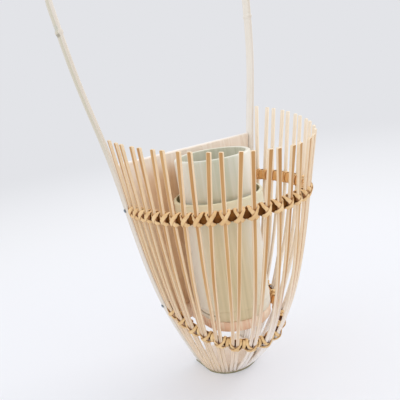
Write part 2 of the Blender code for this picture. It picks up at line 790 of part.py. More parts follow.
def build_foot(material):
    """Half-round block that the sticks stand round, on a thin plate as wide as their feet."""
    reach = FOOT_STICK_RADIUS + STICK_FOOT_DEPTH / 2 + FOOT_PLATE_MARGIN
    plate_side = HANDLE_FOOT_HALF_WIDTH + HANDLE_THICKNESS / 2 + FOOT_PLATE_MARGIN
    block_radius = FOOT_STICK_RADIUS - STICK_FOOT_DEPTH / 2 - FIT_GAP
    block_side = HANDLE_FOOT_HALF_WIDTH - HANDLE_THICKNESS / 2 - FIT_GAP
    back = BACK_Y + BOARD_THICKNESS
    plate = half_round_outline(reach, plate_side, 0.0, back, ROUND_SIDES)
    block = half_round_outline(block_radius, block_side, 0.0, back, ROUND_SIDES)
    top = FOOT_PLATE_HEIGHT + FOOT_BLOCK_HEIGHT
    loops = [[Vector((x, y, 0.0)) for x, y in plate],
             [Vector((x, y, FOOT_PLATE_HEIGHT)) for x, y in plate],
             [Vector((x, y, FOOT_PLATE_HEIGHT)) for x, y in block],
             [Vector((x, y, top)) for x, y in block]]
    return make_object("foot", sweep(loops), material)


def build_all():
    remove_everything()
    stick_skin = make_material("stick_bamboo", (0.60, 0.37, 0.18), 0.50)
    handle_skin = make_material("handle_bamboo", (0.66, 0.56, 0.40), 0.45)
    tube_skin = make_material("tube_bamboo", (0.56, 0.54, 0.34), 0.38)
    ring_skin = make_material("ring_bamboo", (0.72, 0.66, 0.48), 0.42)
    board_wood = make_material("board_wood", (0.66, 0.50, 0.36), 0.60)
    shelf_wood = make_material("shelf_wood", (0.62, 0.36, 0.22), 0.62)
    foot_bamboo = make_material("foot_bamboo", (0.34, 0.36, 0.18), 0.50)
    hoop_cane = make_material("hoop_cane", (0.36, 0.17, 0.06), 0.55)
    lashing_cane = make_material("lashing_cane", (0.62, 0.34, 0.13), 0.45)
    nail_steel = make_material("nail_steel", (0.32, 0.35, 0.38), 0.40, 0.9)
    peg_bamboo = make_material("peg_bamboo", (0.66, 0.50, 0.30), 0.55)

    build_foot(foot_bamboo)
    build_board(board_wood)
    build_shelf(shelf_wood)
    build_ring(ring_skin)
    build_tube(tube_skin)
    handle = build_handle(handle_skin)
    cut_holes(handle, nail_holes())
    build_hoop("lower_hoop", LOWER_CURVE, hoop_cane)
    build_hoop("upper_hoop", UPPER_CURVE, hoop_cane)
    build_lashing("lower_lashing_rising", LOWER_CURVE, True, lashing_cane)
    build_lashing("lower_lashing_falling", LOWER_CURVE, False, lashing_cane)
    build_lashing("upper_lashing_rising", UPPER_CURVE, True, lashing_cane)
    build_lashing("upper_lashing_falling", UPPER_CURVE, False, lashing_cane)
    for index in range(STICK_COUNT):
        build_stick(index, stick_skin)
    nail_names = ("lower_right", "lower_left", "upper_right", "upper_left")
    for place, (surface, inward) in zip(nail_names, nail_frames()):
        body = nail_body(surface, inward)
        make_object("leg_nail_" + place, body, nail_steel, tuple(surface), smooth=True)
    shelf_pegs, ring_pegs = peg_starts()
    peg_names = ("shelf_peg_left", "shelf_peg_right", "ring_peg")
    for name, (start, length) in zip(peg_names, shelf_pegs + ring_pegs):
        body = rod(start, (0, -1, 0), length, PEG_RADIUS)
        make_object(name, body, peg_bamboo, start, smooth=True)


build_all()
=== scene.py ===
"""The looks of a hanging bamboo flower vase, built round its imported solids."""

import math

import bpy
import numpy as np
from mathutils import Matrix, Vector


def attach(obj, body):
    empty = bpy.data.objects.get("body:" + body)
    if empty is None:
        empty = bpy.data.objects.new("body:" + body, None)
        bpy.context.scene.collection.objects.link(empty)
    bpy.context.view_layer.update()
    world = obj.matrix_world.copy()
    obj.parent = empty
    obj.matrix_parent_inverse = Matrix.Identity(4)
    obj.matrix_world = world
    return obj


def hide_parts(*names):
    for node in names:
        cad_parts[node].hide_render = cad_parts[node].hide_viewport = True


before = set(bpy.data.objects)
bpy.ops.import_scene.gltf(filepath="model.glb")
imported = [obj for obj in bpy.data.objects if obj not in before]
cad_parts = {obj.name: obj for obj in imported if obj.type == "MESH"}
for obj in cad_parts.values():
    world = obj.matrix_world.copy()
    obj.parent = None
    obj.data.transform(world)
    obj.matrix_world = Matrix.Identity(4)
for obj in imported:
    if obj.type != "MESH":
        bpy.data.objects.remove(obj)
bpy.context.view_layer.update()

# The same driving sizes as the solids, in metres.
FIT_GAP = 0.0003
BACK_Y = 0.0112
FOOT_PLATE_HEIGHT = 0.0012
FOOT_BLOCK_HEIGHT = 0.0048
FOOT_STICK_RADIUS = 0.0216
FOOT_STICK_HALF_ANGLE = math.radians(105.2)
STICK_COUNT = 30
STICK_WIDTHS = (0.0020, 0.0021, 0.0026, 0.0028)
STICK_DEPTHS = (0.0017, 0.0018, 0.0018, 0.0018)
PAIR_HALF_SPACING = 0.0015
PAIR_LEAD = 0.0094
UPPER_SHIFT = 0.0011
LOWER_LEAN = 0.0011
LOWER_LEAN_CENTRE_SHARE = 0.36
LOWER_LEAN_WIDTH_SHARE = 0.17
TOP_SPREAD = 0.0010
TOP_LEAD_SHARE = 0.035
TOP_LEAD_FADE_SHARE = 0.23
TOP_LEAN_SHARE = 0.037
TOP_LEAN_CENTRE_SHARE = 0.57
TOP_LEAN_WIDTH_SHARE = 0.11
CAP_SHARE = 0.72
HOOP_THICKNESS = 0.0024
HOOP_HEIGHT = 0.0055
HOOP_GAP = 0.0007
HOOP_END_INSET = 0.0014
STICK_HALF_DEPTH = 0.0009
HANDLE_THICKNESS = 0.0024
HANDLE_WIDTH = 0.0070
HANDLE_FOOT_HALF_WIDTH = 0.0206
HANDLE_NECK = (0.0591, 0.1690)
HANDLE_MIDDLE = (0.0692, 0.2240)
HANDLE_SHOULDER = (0.0740, 0.2700)
HANDLE_ARCH_RISE = 0.0920
HANDLE_ARCH_ROUNDNESS_SHARE = 2.15
HANDLE_SIDE_SHIFT = 0.0023
HANDLE_NODE_HEIGHT = 0.2540
BOARD_THICKNESS = 0.0035
BOARD_BOTTOM_HEIGHT = 0.0400
BOARD_TOP_HEIGHT = 0.1682
TUBE_RADIUS = 0.0260
TUBE_WALL = 0.0033
TUBE_HEIGHT = 0.1120
TUBE_FLOOR = 0.0060
TUBE_BASE_HEIGHT = 0.0530
TUBE_AXIS_Y = BACK_Y - 0.0310
RING_INNER = 0.0267
RING_WALL = 0.0040
RING_BOTTOM_HEIGHT = 0.1260
RING_TOP_HEIGHT = 0.1380
SHELF_THICKNESS = 0.0074
SHELF_RADIUS = 0.0253
CURVE_SAMPLES = 400
HOOP_CENTRE_Y = -0.02
PLACE_COUNT = STICK_COUNT + 1

# Sizes of the visible finish alone.
STICK_STATIONS = 46
STICK_CUT_BEVEL = 0.0003
HOOP_STATIONS = 150
HOOP_SEEN_HEIGHT = 0.0066
HOOP_EDGE = 0.0009
HOOP_OUTER = -STICK_HALF_DEPTH - 0.0002
HOOP_INNER = -STICK_HALF_DEPTH - HOOP_GAP - HOOP_THICKNESS
SNUG_GAP = 0.00005
# Ridge, reach, width and thickness of a strand.
UPPER_STRAND = (0.00130, 0.00245, 0.00265, 0.00062)
LOWER_STRAND = (0.00215, 0.00345, 0.00255, 0.00095)
STRAND_DRIFT = 0.00010
STRAND_SIDES = 12
HANDLE_EDGE = 0.0006
HANDLE_NODE_REACH = 0.0036
HANDLE_NODE_SWELL = 0.00050
HANDLE_NODE_DIP = 0.00012
BOARD_EDGE = 0.0011
SMALL_BEVEL = 0.0003
RING_RIM = 0.0021
RING_HOLLOW_DEPTH = 0.0042
TUBE_NODE_HEIGHT = 0.0080
FLOOR_HALF_SIDE = 14.0
FLOOR_HEIGHT = -0.00001
LAMP_SIZE = 1.2
WORLD_STRENGTH = 1.01
SENSOR_WIDTH = 36.0
# Where the outer and the front face of the handle's strip lie round its section.
OUTER_FACE_U = 0.69
FRONT_FACE_U = 0.47

# The photograph's viewing angle.
CAMERA_PLACE = (-0.1663, -0.2748, 0.2117)
CAMERA_HEADING = 0.536
CAMERA_PITCH = 0.248
CAMERA_ROLL = -0.164
FOCAL_PIXELS = 456.25
IMAGE_PIXELS = 400


def unit(vector):
    return vector / np.linalg.norm(vector)


def path_lengths(points):
    steps = np.linalg.norm(np.diff(points, axis=0), axis=1)
    return np.concatenate([[0.0], np.cumsum(steps)])


# Curves of the basket, the same formulas as the solids.


class PlanCurve:
    def __init__(self, half_width, depth, centre_forward, power, height, tilt_share):
        start = math.asin((centre_forward / depth) ** (power / 2))
        angles = np.linspace(-start, math.pi + start, CURVE_SAMPLES)
        cosines = np.cos(angles)
        sines = np.sin(angles)
        x = -half_width * np.sign(cosines) * np.abs(cosines) ** (2 / power)
        forward = centre_forward + depth * np.sign(sines) * np.abs(sines) ** (2 / power)
        self.points = np.stack([x, BACK_Y - forward, height - tilt_share * forward], axis=1)
        travelled = path_lengths(self.points)
        self.length = float(travelled[-1])
        self.shares = travelled / self.length

    def at(self, share):
        return np.array([np.interp(share, self.shares, self.points[:, i]) for i in range(3)])


LOWER_HOOP_LEVEL, LOWER_HOOP_SLOPE = 0.0580, 0.352
UPPER_HOOP_LEVEL, UPPER_HOOP_SLOPE = 0.1360, -0.021
LOWER_CURVE = PlanCurve(0.0406, 0.0598, 0.0040, 2.073, LOWER_HOOP_LEVEL, LOWER_HOOP_SLOPE)
UPPER_CURVE = PlanCurve(0.0557, 0.0755, 0.0210, 2.212, UPPER_HOOP_LEVEL, UPPER_HOOP_SLOPE)
TOP_CURVE = PlanCurve(0.0639, 0.0906, 0.0209, 1.773, 0.1889, 0.140)


class Spline:
    def __init__(self, points):
        self.points = np.array(points, dtype=float)
        self.knots = path_lengths(self.points)
        steps = np.linalg.norm(np.diff(self.points, axis=0), axis=1)
        count = len(self.points)
        matrix = np.eye(count)
        right = np.zeros_like(self.points)
        for i in range(1, count - 1):
            matrix[i, i - 1] = steps[i - 1]
            matrix[i, i] = 2 * (steps[i - 1] + steps[i])
            matrix[i, i + 1] = steps[i]
            right[i] = 6 * ((self.points[i + 1] - self.points[i]) / steps[i]
                            - (self.points[i] - self.points[i - 1]) / steps[i - 1])
        self.bends = np.linalg.solve(matrix, right)

    def _span(self, where):
        i = int(np.clip(np.searchsorted(self.knots, where) - 1, 0, len(self.knots) - 2))
        span = self.knots[i + 1] - self.knots[i]
        a = (self.knots[i + 1] - where) / span
        return i, span, a, 1 - a

    def at(self, where):
        i, span, a, b = self._span(where)
        bend = (a ** 3 - a) * self.bends[i] + (b ** 3 - b) * self.bends[i + 1]
        return a * self.points[i] + b * self.points[i + 1] + bend * span ** 2 / 6

    def direction(self, where):
        i, span, a, b = self._span(where)
        bend = (3 * b * b - 1) * self.bends[i + 1] - (3 * a * a - 1) * self.bends[i]
        return unit((self.points[i + 1] - self.points[i]) / span + bend * span / 6)


def top_place(share):
    distance_share = (share - TOP_LEAN_CENTRE_SHARE) / TOP_LEAN_WIDTH_SHARE
    lead_share = TOP_LEAD_SHARE * math.exp(-share / TOP_LEAD_FADE_SHARE)
    return share + lead_share - TOP_LEAN_SHARE * math.exp(-distance_share ** 2)


def upper_place(index):
    even_share = (index + 1) / PLACE_COUNT
    return even_share + UPPER_SHIFT / UPPER_CURVE.length * math.sin(math.pi * even_share)


def foot_point(share):
    angle = (2 * share - 1) * FOOT_STICK_HALF_ANGLE
    return np.array([FOOT_STICK_RADIUS * math.sin(angle), -FOOT_STICK_RADIUS * math.cos(angle),
                     FOOT_PLATE_HEIGHT + FIT_GAP])


def pair_place(pair):
    lead_share = PAIR_LEAD / LOWER_CURVE.length
    even_share = lead_share + (1 - 2 * lead_share) * pair / (STICK_COUNT // 2 - 1)
    distance_share = (even_share - LOWER_LEAN_CENTRE_SHARE) / LOWER_LEAN_WIDTH_SHARE
    return even_share - LOWER_LEAN / LOWER_CURVE.length * math.exp(-distance_share ** 2)


def stick_spline(index, shift_share=0.0):
    side = -1 if index % 2 == 0 else 1
    even_share = (index + 1) / PLACE_COUNT
    foot_share = index / (STICK_COUNT - 1)
    lower_share = pair_place(index // 2) + side * PAIR_HALF_SPACING / LOWER_CURVE.length
    top_share = top_place(even_share) + side * TOP_SPREAD / TOP_CURVE.length
    return Spline([foot_point(foot_share + shift_share), LOWER_CURVE.at(lower_share + shift_share),
                   UPPER_CURVE.at(upper_place(index) + shift_share),
                   TOP_CURVE.at(top_share + shift_share)])


def wall_directions(knot):
    rows = []
    for pair in range(STICK_COUNT // 2):
        total = 0
        for index in (2 * pair, 2 * pair + 1):
            spline = stick_spline(index)
            total = total + spline.direction(spline.knots[knot])
        rows.append(unit(total))
    return np.array(rows)


LOWER_DIRECTIONS = wall_directions(1)
UPPER_DIRECTIONS = wall_directions(2)


def wall_frame(curve, share):
    step_share = 0.5 / CURVE_SAMPLES
    pairs = range(STICK_COUNT // 2)
    if curve is LOWER_CURVE:
        directions = LOWER_DIRECTIONS
        places = [pair_place(i) for i in pairs]
    else:
        directions = UPPER_DIRECTIONS
        places = [(upper_place(2 * i) + upper_place(2 * i + 1)) / 2 for i in pairs]
    stick_way = unit(np.array([np.interp(share, places, directions[:, i]) for i in range(3)]))
    along = unit(curve.at(min(share + step_share, 1.0)) - curve.at(max(share - step_share, 0.0)))
    outward = unit(np.cross(along, stick_way))
    return curve.at(share), along, outward, np.cross(outward, along), stick_way


# Mesh helpers.


def placed(name, data):
    item = bpy.data.objects.new(name, data)
    bpy.context.scene.collection.objects.link(item)
    return item


def mesh_object(name, vertices, faces, uvs=None):
    mesh = bpy.data.meshes.new(name)
    mesh.from_pydata([tuple(v) for v in vertices], [], faces)
    if uvs is not None:
        layer = mesh.uv_layers.new(name="UVMap")
        flat = [value for face in uvs for corner in face for value in corner]
        layer.data.foreach_set("uv", flat)
    mesh.update()
    mesh.polygons.foreach_set("use_smooth", [True] * len(mesh.polygons))
    return placed(name, mesh)


def swept(name, loops, distances, start_v=0.0, cap_inset=0.0, cap_u=0.5):
    """A tube through rows of points, with UV u round it and v along it in centimetres."""
    rows = [np.array(loop, dtype=float) for loop in loops]
    distances = list(distances)
    if cap_inset > 0:
        for end, beside in ((0, 1), (-1, -2)):
            middle = rows[end].mean(axis=0)
            outward = unit(middle - rows[beside].mean(axis=0))
            inner = middle + (rows[end] - middle) * CAP_SHARE
            rim = rows[end] - outward * cap_inset
            if end == 0:
                rows = [inner, rim] + rows[1:]
                distances = [distances[0], distances[0] + cap_inset] + distances[1:]
            else:
                rows = rows[:-1] + [rim, inner]
                distances = distances[:-1] + [distances[-1] - cap_inset, distances[-1]]
    count = len(rows[0])
    vertices = np.concatenate(rows)
    faces = []
    uvs = []
    for row in range(len(rows) - 1):
        v0 = start_v + distances[row] * 100
        v1 = start_v + distances[row + 1] * 100
        for i in range(count):
            j = (i + 1) % count
            low = row * count
            high = low + count
            faces.append((low + i, low + j, high + j, high + i))
            u0, u1 = i / count, (i + 1) / count
            uvs.append(((u0, v0), (u1, v0), (u1, v1), (u0, v1)))
    for base, order, v in ((0, range(count - 1, -1, -1), start_v),
                           ((len(rows) - 1) * count, range(count), start_v + distances[-1] * 100)):
        face = tuple(base + i for i in order)
        faces.append(face)
        uvs.append([(cap_u, v) for _ in face])
    return mesh_object(name, vertices, faces, uvs)


def turned(name, profile, centre, wobble, seed, sides=112):
    """A body turned round a vertical axis from (radius, height) pairs."""
    phases = np.random.default_rng(seed).uniform(0, 2 * math.pi, 3)
    vertices = []
    rows = []
    for radius, height in profile:
        row = []
        if radius == 0:
            row.append(len(vertices))
            vertices.append((centre[0], centre[1], centre[2] + height))
        else:
            for i in range(sides):
                angle = 2 * math.pi * i / sides
                out = radius - wobble * (1 + math.sin(2 * angle + phases[0] + height * 20)
                                         + 0.5 * math.sin(5 * angle + phases[1]))
                row.append(len(vertices))
                vertices.append((centre[0] + out * math.cos(angle),
                                 centre[1] + out * math.sin(angle), centre[2] + height))
        rows.append(row)
    faces = []
    uvs = []
    lengths = path_lengths(profile)
    for k in range(len(rows) - 1):
        low, high = rows[k], rows[k + 1]
        v0, v1 = lengths[k] * 100, lengths[k + 1] * 100
        for i in range(sides):
            j = (i + 1) % sides
            a, b = i / sides, (i + 1) / sides
            if len(low) == 1:
                faces.append((low[0], high[j], high[i]))
                uvs.append(((a, v0), (b, v1), (a, v1)))
            elif len(high) == 1:
                faces.append((low[i], low[j], high[0]))
                uvs.append(((a, v0), (b, v0), (a, v1)))
            else:
                faces.append((low[i], low[j], high[j], high[i]))
                uvs.append(((a, v0), (b, v0), (b, v1), (a, v1)))
    return mesh_object(name, vertices, faces, uvs)


def finish_piece(item, material, node, body="basket_frame"):
    item.data.materials.clear()
    item.data.materials.append(material)
    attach(item, body)
    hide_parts(node)


# Material helpers.


class Nodes:
    """Short calls that add nodes to one material."""

    def __init__(self, name):
        self.material = bpy.data.materials.new(name)
        self.material.use_nodes = True
        self.tree = self.material.node_tree
        self.shader = self.tree.nodes["Principled BSDF"]

    def add(self, kind, inputs=None, **settings):
        """A node with its settings made, and its inputs linked or filled by name or number."""
        node = self.tree.nodes.new(kind)
        for key, value in settings.items():
            setattr(node, key, value)
        for key, value in (inputs or {}).items():
            self.put(node.inputs[key], value)
        return node

    def put(self, target, value):
        if hasattr(value, "is_output"):
            self.tree.links.new(value, target)
        elif isinstance(value, tuple) and len(value) == 3 and target.type == "RGBA":
            target.default_value = (*value, 1.0)
        else:
            target.default_value = value

    def uv(self):
        return self.add("ShaderNodeUVMap", uv_map="UVMap").outputs[0]

    def position(self):
        return self.add("ShaderNodeTexCoord").outputs["Object"]

    def noise(self, vector, stretch, detail, rough=0.6, distortion=0.0):
        mapping = self.add("ShaderNodeMapping", {"Vector": vector, "Scale": stretch})
        node = self.add("ShaderNodeTexNoise", {
            "Vector": mapping.outputs[0], "Scale": 1.0, "Detail": detail, "Roughness": rough,
            "Distortion": distortion})
        return node.outputs["Fac"]

    def range(self, value, low, high, out_low=0.0, out_high=1.0):
        node = self.add("ShaderNodeMapRange", {
            "Value": value, "From Min": low, "From Max": high, "To Min": out_low,
            "To Max": out_high}, interpolation_type="SMOOTHSTEP")
        return node.outputs[0]

    def math(self, operation, a, b=0.0):
        return self.add("ShaderNodeMath", {0: a, 1: b}, operation=operation).outputs[0]

    def times(self, a, b):
        return self.math("MULTIPLY", a, b)

    def apart(self, a, b):
        return self.math("ABSOLUTE", self.math("SUBTRACT", a, b))

    def mix(self, factor, a, b, blend="MIX"):
        node = self.add("ShaderNodeMix", {"Factor": factor, "A": a, "B": b}, data_type="RGBA",
                        blend_type=blend)
        return node.outputs["Result"]

    def fade(self, value, low, high, a, b, most=1.0, blend="MIX"):
        """Colour a below the low value, turning into b, or into a share of it, at the high one."""
        return self.mix(self.range(value, low, high, 0.0, most), a, b, blend)

    def split(self, vector):
        return self.add("ShaderNodeSeparateXYZ", {0: vector}).outputs

    def vector_math(self, operation, *values):
        node = self.add("ShaderNodeVectorMath", dict(enumerate(values)), operation=operation)
        return node.outputs

    def outward(self, centre_y):
        """How far a face looks away from the vertical line through (0, centre_y)."""
        normal = self.add("ShaderNodeNewGeometry").outputs["Normal"]
        shifted = self.vector_math("SUBTRACT", self.position(), (0.0, centre_y, 0.0))[0]
        flat = self.vector_math("MULTIPLY", shifted, (1.0, 1.0, 0.0))[0]
        way = self.vector_math("NORMALIZE", flat)[0]
        return self.vector_math("DOT_PRODUCT", normal, way)["Value"]

    def bump(self, height, distance, strength):
        return self.add("ShaderNodeBump", {"Strength": strength, "Distance": distance,
                                           "Height": height}).outputs[0]

    def finish(self, colour, roughness, normal=None, specular=0.4):
        self.put(self.shader.inputs["Base Color"], colour)
        self.put(self.shader.inputs["Roughness"], roughness)
        self.put(self.shader.inputs["Specular IOR Level"], specular)
        if normal is not None:
            self.put(self.shader.inputs["Normal"], normal)
        return self.material


def rgb(red, green, blue):
    """Linear colour from display values out of 255."""
    return tuple((c / 255 / 12.92) if c <= 10 else ((c / 255 + 0.055) / 1.055) ** 2.4
                 for c in (red, green, blue))


def stick_material():
    """Split bamboo: tan skin outside, pale fibrous pith on the split sides and cut ends. Painted
    light makes it paler to the right and towards the foot; painted shade darkens it to the left
    and round the hoops.
    """
    n = Nodes("split_bamboo")
    uv = n.uv()
    around = n.split(uv)[0]
    place = n.split(n.position())
    streaks = n.noise(uv, (34.0, 0.22, 1.0), 4.0)
    fine = n.noise(uv, (120.0, 0.8, 1.0), 2.0)
    patches = n.noise(uv, (1.2, 0.16, 1.0), 2.0, 0.5)
    tone = n.noise(uv, (0.01, 0.011, 1.0), 1.0, 0.5)
    distance = n.apart(around, 0.5)
    skin_share = n.range(distance, 0.10, 0.14, 1.0, 0.0)
    skin = n.fade(patches, 0.35, 0.68, rgb(197, 146, 88), rgb(215, 172, 116))
    skin = n.fade(streaks, 0.42, 0.75, skin, rgb(182, 128, 76), 0.5)
    pith = n.fade(streaks, 0.35, 0.7, rgb(249, 232, 206), rgb(241, 215, 180))
    pith = n.fade(fine, 0.55, 0.8, pith, rgb(226, 194, 156), 0.4)
    skin = n.fade(tone, 0.3, 0.7, skin, rgb(226, 206, 160), 0.3, blend="MULTIPLY")
    # Painted light: skin and pith turn paler towards the right side.
    skin = n.fade(place[0], 0.012, 0.050, skin, rgb(246, 222, 188), 0.55)
    pith = n.fade(place[0], 0.010, 0.050, pith, rgb(255, 247, 234), 0.45)
    # Painted shade: the pith is darker towards the left side.
    pith = n.mix(n.range(place[0], -0.060, -0.020, 0.45, 0.0), pith, rgb(234, 204, 162))
    colour = n.mix(skin_share, pith, skin)
    # Painted shade: the sticks are darker in a band round each hoop, where the lashing covers
    # them.
    for level, slope in ((UPPER_HOOP_LEVEL, UPPER_HOOP_SLOPE),
                         (LOWER_HOOP_LEVEL, LOWER_HOOP_SLOPE)):
        above = n.math("SUBTRACT", place[2], n.times(n.math("SUBTRACT", BACK_Y, place[1]), -slope))
        near = n.apart(above, level)
        colour = n.mix(n.range(near, 0.0022, 0.0036, 0.85, 0.0), colour, rgb(206, 150, 96),
                       "MULTIPLY")
    # Painted light: the sticks turn paler towards the foot, most on the right, as if lit from the
    # floor.
    low = n.times(n.range(place[2], 0.020, 0.105, 1.0, 0.0),
                  n.range(place[0], -0.034, 0.006, 0.55, 0.90))
    painted_bounce_light = n.fade(place[0], -0.024, -0.008, rgb(254, 239, 218), rgb(255, 252, 249))
    colour = n.mix(low, colour, painted_bounce_light)
    rough = n.range(skin_share, 0.0, 1.0, 0.72, 0.42)
    relief = n.math("ADD", n.times(streaks, 0.6), n.times(fine, 0.4))
    return n.finish(colour, rough, n.bump(relief, 0.00012, 0.5), 0.35)


def cane_material(name, light, dark, inside, shine):
    """Split cane strand: long fibres, a painted highlight along the crown, painted shade along the
    sides, and a deeper colour inside the hoop.
    """
    n = Nodes(name)
    uv = n.uv()
    around = n.split(uv)[0]
    fibres = n.noise(uv, (26.0, 0.9, 1.0), 4.0)
    patches = n.noise(uv, (1.0, 1.3, 1.0), 3.0)
    edge = n.apart(around, 0.5)
    crown_highlight = n.range(edge, 0.05, 0.24, 1.0, 0.0)
    facing = n.range(n.outward(HOOP_CENTRE_Y), -0.5, -0.1)
    colour = n.fade(patches, 0.3, 0.7, dark, light)
    colour = n.mix(facing, inside, colour)
    # Painted shade darkens the strand's sides and inner face.
    colour = n.fade(edge, 0.15, 0.27, colour, tuple(c * 0.5 for c in dark), 0.55)
    colour = n.fade(fibres, 0.45, 0.75, colour, tuple(c * 0.6 for c in dark), 0.4)
    # Painted highlight along the strand's outer crown.
    colour = n.mix(n.times(crown_highlight, 0.3), colour, tuple(min(c * 1.3, 1) for c in light))
    return n.finish(colour, n.range(fibres, 0.2, 0.9, shine, shine + 0.2),
                    n.bump(fibres, 0.00012, 0.6), 0.3)


def hoop_material():
    """Cane hoop: dark stained outside, darker still round the lower hoop, orange brown on the
    inside.
    """
    n = Nodes("stained_cane")
    uv = n.uv()
    fibres = n.noise(uv, (18.0, 0.35, 1.0), 4.0)
    wraps = n.noise(uv, (1.0, 4.0, 1.0), 3.0, 0.7)
    facing = n.range(n.outward(HOOP_CENTRE_Y), -0.35, 0.25, 0.0, 1.0)
    inside = n.fade(wraps, 0.35, 0.65, rgb(238, 172, 100), rgb(250, 198, 134))
    outside = n.fade(fibres, 0.35, 0.7, rgb(108, 63, 20), rgb(138, 86, 35))
    # The lower hoop's outside is darker still.
    low = n.range(n.split(n.position())[2], 0.06, 0.12, 0.75, 0.0)
    outside = n.mix(low, outside, rgb(88, 48, 18))
    colour = n.mix(facing, inside, outside)
    return n.finish(colour, n.range(fibres, 0.2, 0.8, 0.6, 0.8),
                    n.bump(fibres, 0.00015, 0.6), 0.12)


def culm_material():
    """Whole bamboo culm: waxy grey-green skin with long pale fibres, warmer lower down, and a
    painted sheen towards its sides across the camera's view.
    """
    n = Nodes("culm_skin")
    uv = n.uv()
    position = n.position()
    height = n.split(position)[2]
    radial = n.outward(TUBE_AXIS_Y)
    streaks = n.noise(uv, (44.0, 0.05, 1.0), 4.0, 0.55)
    fine = n.noise(uv, (260.0, 0.12, 1.0), 3.0)
    bloom = n.noise(position, (38.0, 38.0, 14.0), 3.0)
    rise = n.range(height, 0.10, 0.160)
    low = n.fade(streaks, 0.35, 0.7, rgb(212, 197, 158), rgb(227, 212, 178))
    high = n.fade(streaks, 0.35, 0.7, rgb(198, 201, 180), rgb(212, 212, 198))
    colour = n.mix(rise, low, high)
    colour = n.fade(fine, 0.5, 0.78, colour, rgb(194, 180, 140), 0.35)
    colour = n.fade(bloom, 0.5, 0.75, colour, rgb(230, 228, 216), 0.35)
    across, back, _ = n.split(position)
    # Painted sheen: paler towards both sides of the tube across the camera's view.
    aside = n.math("ADD", n.times(across, 0.86),
                   n.times(n.math("SUBTRACT", TUBE_AXIS_Y, back), 0.51))
    colour = n.fade(n.math("ABSOLUTE", aside), 0.008, 0.025, colour, rgb(246, 242, 233), 0.8)
    # A thin dark line low on the left front of the tube, 4 mm above its bottom.
    under_node = n.apart(height, TUBE_BASE_HEIGHT + 0.0040)
    low_left_line = n.times(n.range(under_node, 0.0003, 0.0009, 0.75, 0.0),
                   n.range(across, -0.020, -0.016, 1.0, 0.0))
    low_left_line = n.times(low_left_line, n.range(back, TUBE_AXIS_Y - 0.015, TUBE_AXIS_Y - 0.009))
    colour = n.mix(low_left_line, colour, rgb(146, 130, 98))
    inner = n.fade(streaks, 0.35, 0.7, rgb(212, 209, 190), rgb(196, 194, 170))
    rim = n.range(height, TUBE_BASE_HEIGHT + TUBE_HEIGHT - 0.0004,
                  TUBE_BASE_HEIGHT + TUBE_HEIGHT - 0.0001)
    colour = n.fade(radial, -0.2, 0.5, inner, colour)
    colour = n.mix(n.times(rim, 0.6), colour, rgb(244, 240, 226))
    shape = n.math("ADD", n.times(streaks, 0.7), n.times(fine, 0.3))
    return n.finish(colour, n.range(bloom, 0.3, 0.8, 0.38, 0.6), n.bump(shape, 0.00018, 0.5), 0.5)


def pale_bamboo_material(name, light, dark, shadow, streak_across, streak_along, left_shade,
                         hollow=None, skin=None):
    """Smooth scraped bamboo with long faint fibres, a little darker to the left as painted shade.
    The handle keeps an olive skin on its outer face, painted shade on the right leg's forward
    narrow face, and a painted shadow below each node with a grey-green patch above it. Faces
    looking in towards the tube's axis get painted shade."""
    n = Nodes(name)
    uv = n.uv()
    streaks = n.noise(uv, (streak_across, streak_along, 1.0), 4.0)
    fine = n.noise(uv, (streak_across * 4, streak_along * 3, 1.0), 3.0)
    patches = n.noise(uv, (0.8, 0.1, 1.0), 2.0, 0.5)
    colour = n.fade(patches, 0.3, 0.7, dark, light)
    colour = n.fade(streaks, 0.45, 0.8, colour, shadow, 0.5)
    colour = n.fade(fine, 0.6, 0.85, colour, shadow, 0.35)
    across, _, up = n.split(n.position())
    # Painted shade: darker towards the left side.
    colour = n.mix(n.range(across, -0.05, 0.05, 1.0, 0.0), colour, left_shade, "MULTIPLY")
    if skin:
        around = n.split(uv)[0]
        outside = n.times(n.range(around, OUTER_FACE_U - 0.09, OUTER_FACE_U),
                          n.range(around, OUTER_FACE_U + 0.01, OUTER_FACE_U + 0.07, 1.0, 0.3))
        outside = n.times(outside, n.range(up, 0.15, 0.21, 0.0, 0.8))
        colour = n.mix(outside, colour, skin, "MULTIPLY")
        # Painted shade on the forward narrow face of the right leg.
        front = n.range(n.apart(around, FRONT_FACE_U), 0.03, 0.08, 1.0, 0.0)
        colour = n.mix(n.times(front, n.range(across, -0.02, 0.02)), colour,
                       rgb(238, 234, 230), "MULTIPLY")
        outside = n.range(around, OUTER_FACE_U - 0.13, OUTER_FACE_U - 0.01)
        # A painted shadow under the node ridge, and a grey-green patch above it.
        for middle, half, share, tone in ((-0.0018, 0.0013, 0.65, rgb(142, 132, 108)),
                                          (0.0024, 0.0022, 0.40, rgb(196, 200, 190))):
            away = n.apart(up, HANDLE_NODE_HEIGHT + middle)
            mark = n.times(outside, n.range(away, half * 0.4, half, share, 0.0))
            colour = n.mix(mark, colour, tone)
    # Painted shade on faces looking in towards the tube's axis.
    if hollow:
        inward = n.range(n.outward(TUBE_AXIS_Y), -0.8, -0.4, 1.0, 0.0)
        colour = n.mix(inward, colour, hollow)
    return n.finish(colour, n.range(streaks, 0.2, 0.8, 0.38, 0.55),
                    n.bump(streaks, 0.00012, 0.5), 0.4)


